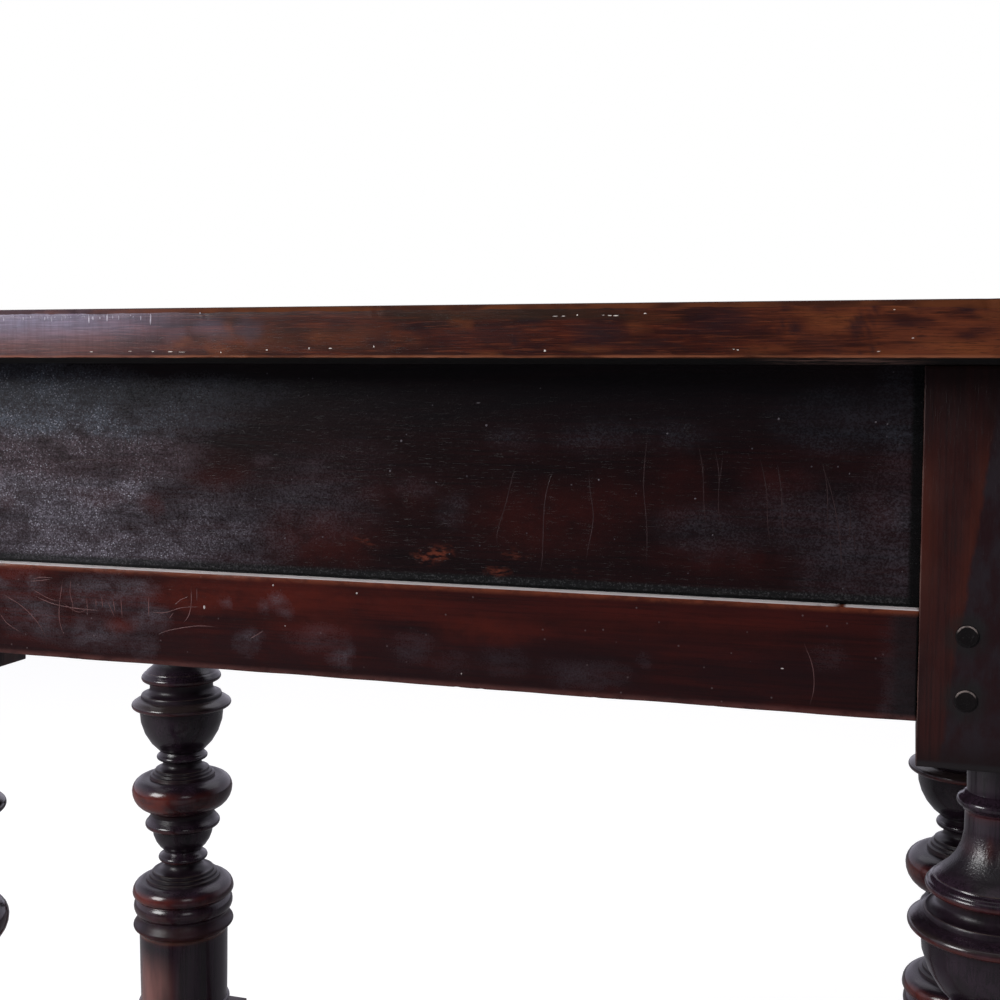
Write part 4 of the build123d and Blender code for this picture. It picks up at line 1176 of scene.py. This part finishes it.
def make_pegs(side, material):
    """The four pegs through the joints of one rail."""
    node = f"rail_pegs_{side}"
    low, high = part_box(node)
    reach = 0.7 * MM
    faces = {"front": (1, low.y + reach, -1), "back": (1, high.y - reach, 1),
             "left": (0, low.x + reach, -1), "right": (0, high.x - reach, 1)}
    depth_axis, face, sign = faces[side]
    outward = Vector((0, 0, 0))
    outward[depth_axis] = sign
    along = PEG_X if depth_axis else PEG_Y
    parts = []
    for end in (-1, 1):
        for height in PEG_HEIGHTS:
            place = Vector((end * along * MM, end * along * MM, height * MM))
            place[depth_axis] = face
            parts.append(peg(place, outward))
    return add_piece(joined(*parts), f"rubbed_{node}", [material], [node])


# ---------------------------------------------------------------- the table

long_frieze = frieze_finish("long_frieze_polish", "x")
end_frieze = frieze_finish("end_frieze_polish", "y")
long_rail = rail_finish("long_rail_polish", "x")
end_rail = rail_finish("end_rail_polish", "y")
leg_materials = [turned_finish("turning_polish"), square_finish("square_polish")]
top_material = top_finish("top_polish")
peg_material = peg_finish("peg_end_grain")
bare_long = bare_finish("bare_wood_long", "x")
bare_across = bare_finish("bare_wood_across", "y")

NODE_FINISH = {
    "stretcher_front": long_rail, "stretcher_back": long_rail,
    "stretcher_left": end_rail, "stretcher_right": end_rail,
    "top_tongue_front": bare_long, "top_tongue_back": bare_long,
    "top_bearer_left": bare_across, "top_bearer_right": bare_across,
}
for name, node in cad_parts.items():
    material = NODE_FINISH.get(name, peg_material)
    node.data.materials.clear()
    node.data.materials.append(material)

for end, side in LEG_PLACES:
    make_leg(end, side, leg_materials)
    make_foot(end, side, leg_materials[:1])
for side in ("front", "back"):
    make_rail(f"rail_{side}", 0, long_rail)
    make_frieze(f"frieze_{side}", 0, long_frieze)
    make_pegs(side, peg_material)
for side in ("left", "right"):
    make_rail(f"rail_{side}", 1, end_rail)
    make_frieze(f"frieze_{side}", 1, end_frieze)
    make_pegs(side, peg_material)
for name in ("top_board_front", "top_board_middle", "top_board_back"):
    make_top_board(name, top_material)

# ---------------------------------------------------------------- studio

KEY_PLACE, KEY_SIZE, KEY_POWER = Vector((-1.60, -1.60, 1.52)), 1.0, 44.0
FILL_PLACE, FILL_SIZE, FILL_POWER = Vector((1.25, -1.90, 1.50)), 0.8, 5.0
CROWN_PLACE, CROWN_SIZE, CROWN_POWER = Vector((0.0, 0.4, 2.8)), 4.5, 32.0
AIM = Vector((0.0, 0.0, 0.55))
STUDIO_REACH = 9.0        # half the width of the floor
ROOM_GLOW = 0.055         # light of the dim side of the room on the object
BACK_WALL = 0.90          # light of the white wall behind
SIDE_WALL = 0.85          # light of the white wall at the left


def add_softbox(name, place, size, power):
    light = bpy.data.lights.new(name, "AREA")
    light.size = size
    light.energy = power
    lamp = bpy.data.objects.new(name, light)
    lamp.location = place
    lamp.rotation_euler = (AIM - place).to_track_quat("-Z", "Y").to_euler()
    bpy.context.collection.objects.link(lamp)


def add_floor():
    """White floor: plain to the lamps and in reflections, and white with a soft shadow to the eye."""
    bm = bmesh.new()
    bmesh.ops.create_grid(bm, x_segments=1, y_segments=1, size=STUDIO_REACH)
    mesh = bpy.data.meshes.new("studio_floor")
    bm.to_mesh(mesh)
    bm.free()
    floor = bpy.data.objects.new("studio_floor", mesh)
    bpy.context.collection.objects.link(floor)
    white = Finish("studio_white")
    path = white.add("ShaderNodeLightPath").outputs
    seen = white.math("MULTIPLY", path["Is Camera Ray"], 0.8)
    white.shader.inputs["Base Color"].default_value = (0.35, 0.35, 0.35, 1)
    white.shader.inputs["Roughness"].default_value = 1.0
    white.shader.inputs["Specular IOR Level"].default_value = 0.0
    white.shader.inputs["Emission Color"].default_value = (1, 1, 1, 1)
    white.feed(white.shader.inputs["Emission Strength"], seen)
    mesh.materials.append(white.material)


def light_room():
    """White behind and dim in front, as in a studio with one white wall; plain white to the eye."""
    world = bpy.data.worlds.new("studio_room")
    bpy.context.scene.world = world
    world.use_nodes = True
    nodes, links = world.node_tree.nodes, world.node_tree.links
    background = nodes["Background"]
    direction = nodes.new("ShaderNodeTexCoord").outputs["Generated"]
    towards = nodes.new("ShaderNodeSeparateXYZ")
    links.new(direction, towards.inputs["Vector"])
    walls = []
    for axis, start, end, high in (("Y", 0.1, 0.6, BACK_WALL), ("X", -0.50, -0.95, SIDE_WALL)):
        wall = nodes.new("ShaderNodeMapRange")
        wall.interpolation_type = "SMOOTHSTEP"
        for key, value in (("From Min", start), ("From Max", end), ("To Min", ROOM_GLOW), ("To Max", high)):
            wall.inputs[key].default_value = value
        links.new(towards.outputs[axis], wall.inputs["Value"])
        walls.append(wall.outputs["Result"])
    brighter = nodes.new("ShaderNodeMath")
    brighter.operation = "MAXIMUM"
    links.new(walls[0], brighter.inputs[0])
    links.new(walls[1], brighter.inputs[1])
    path = nodes.new("ShaderNodeLightPath").outputs
    strength = nodes.new("ShaderNodeMix")
    links.new(path["Is Camera Ray"], strength.inputs[0])
    links.new(brighter.outputs["Value"], strength.inputs[2])
    strength.inputs[3].default_value = 1.0
    links.new(strength.outputs[0], background.inputs["Strength"])
    cool = nodes.new("ShaderNodeMix")
    cool.data_type = "RGBA"
    links.new(path["Is Camera Ray"], cool.inputs[0])
    cool.inputs[6].default_value = (0.87, 0.84, 1.0, 1)
    cool.inputs[7].default_value = (1, 1, 1, 1)
    links.new(cool.outputs[2], background.inputs["Color"])


def place_camera():
    """Low in front of the table's right half, looking slightly left and down."""
    yaw, pitch, roll = math.radians(16.90), math.radians(3.52), math.radians(0.29)
    right = Vector((math.cos(yaw), math.sin(yaw), 0))
    ahead = Vector((-math.sin(yaw) * math.cos(pitch), math.cos(yaw) * math.cos(pitch), -math.sin(pitch)))
    up = right.cross(ahead)
    across = right * math.cos(roll) + up * math.sin(roll)
    upright = up * math.cos(roll) - right * math.sin(roll)
    lens = bpy.data.cameras.new("camera")
    lens.sensor_width = 36
    lens.lens = 48.74
    lens.shift_y = -0.038
    lens.clip_start = 0.05
    camera = bpy.data.objects.new("camera", lens)
    camera.matrix_world = Matrix((across, upright, -ahead)).transposed().to_4x4()
    camera.location = (0.3013, -0.9511, 0.7601)
    bpy.context.collection.objects.link(camera)
    bpy.context.scene.camera = camera


add_floor()
light_room()
add_softbox("key_softbox", KEY_PLACE, KEY_SIZE, KEY_POWER)
add_softbox("fill_softbox", FILL_PLACE, FILL_SIZE, FILL_POWER)
add_softbox("crown_softbox", CROWN_PLACE, CROWN_SIZE, CROWN_POWER)
place_camera()
bpy.context.scene.view_settings.view_transform = "Standard"
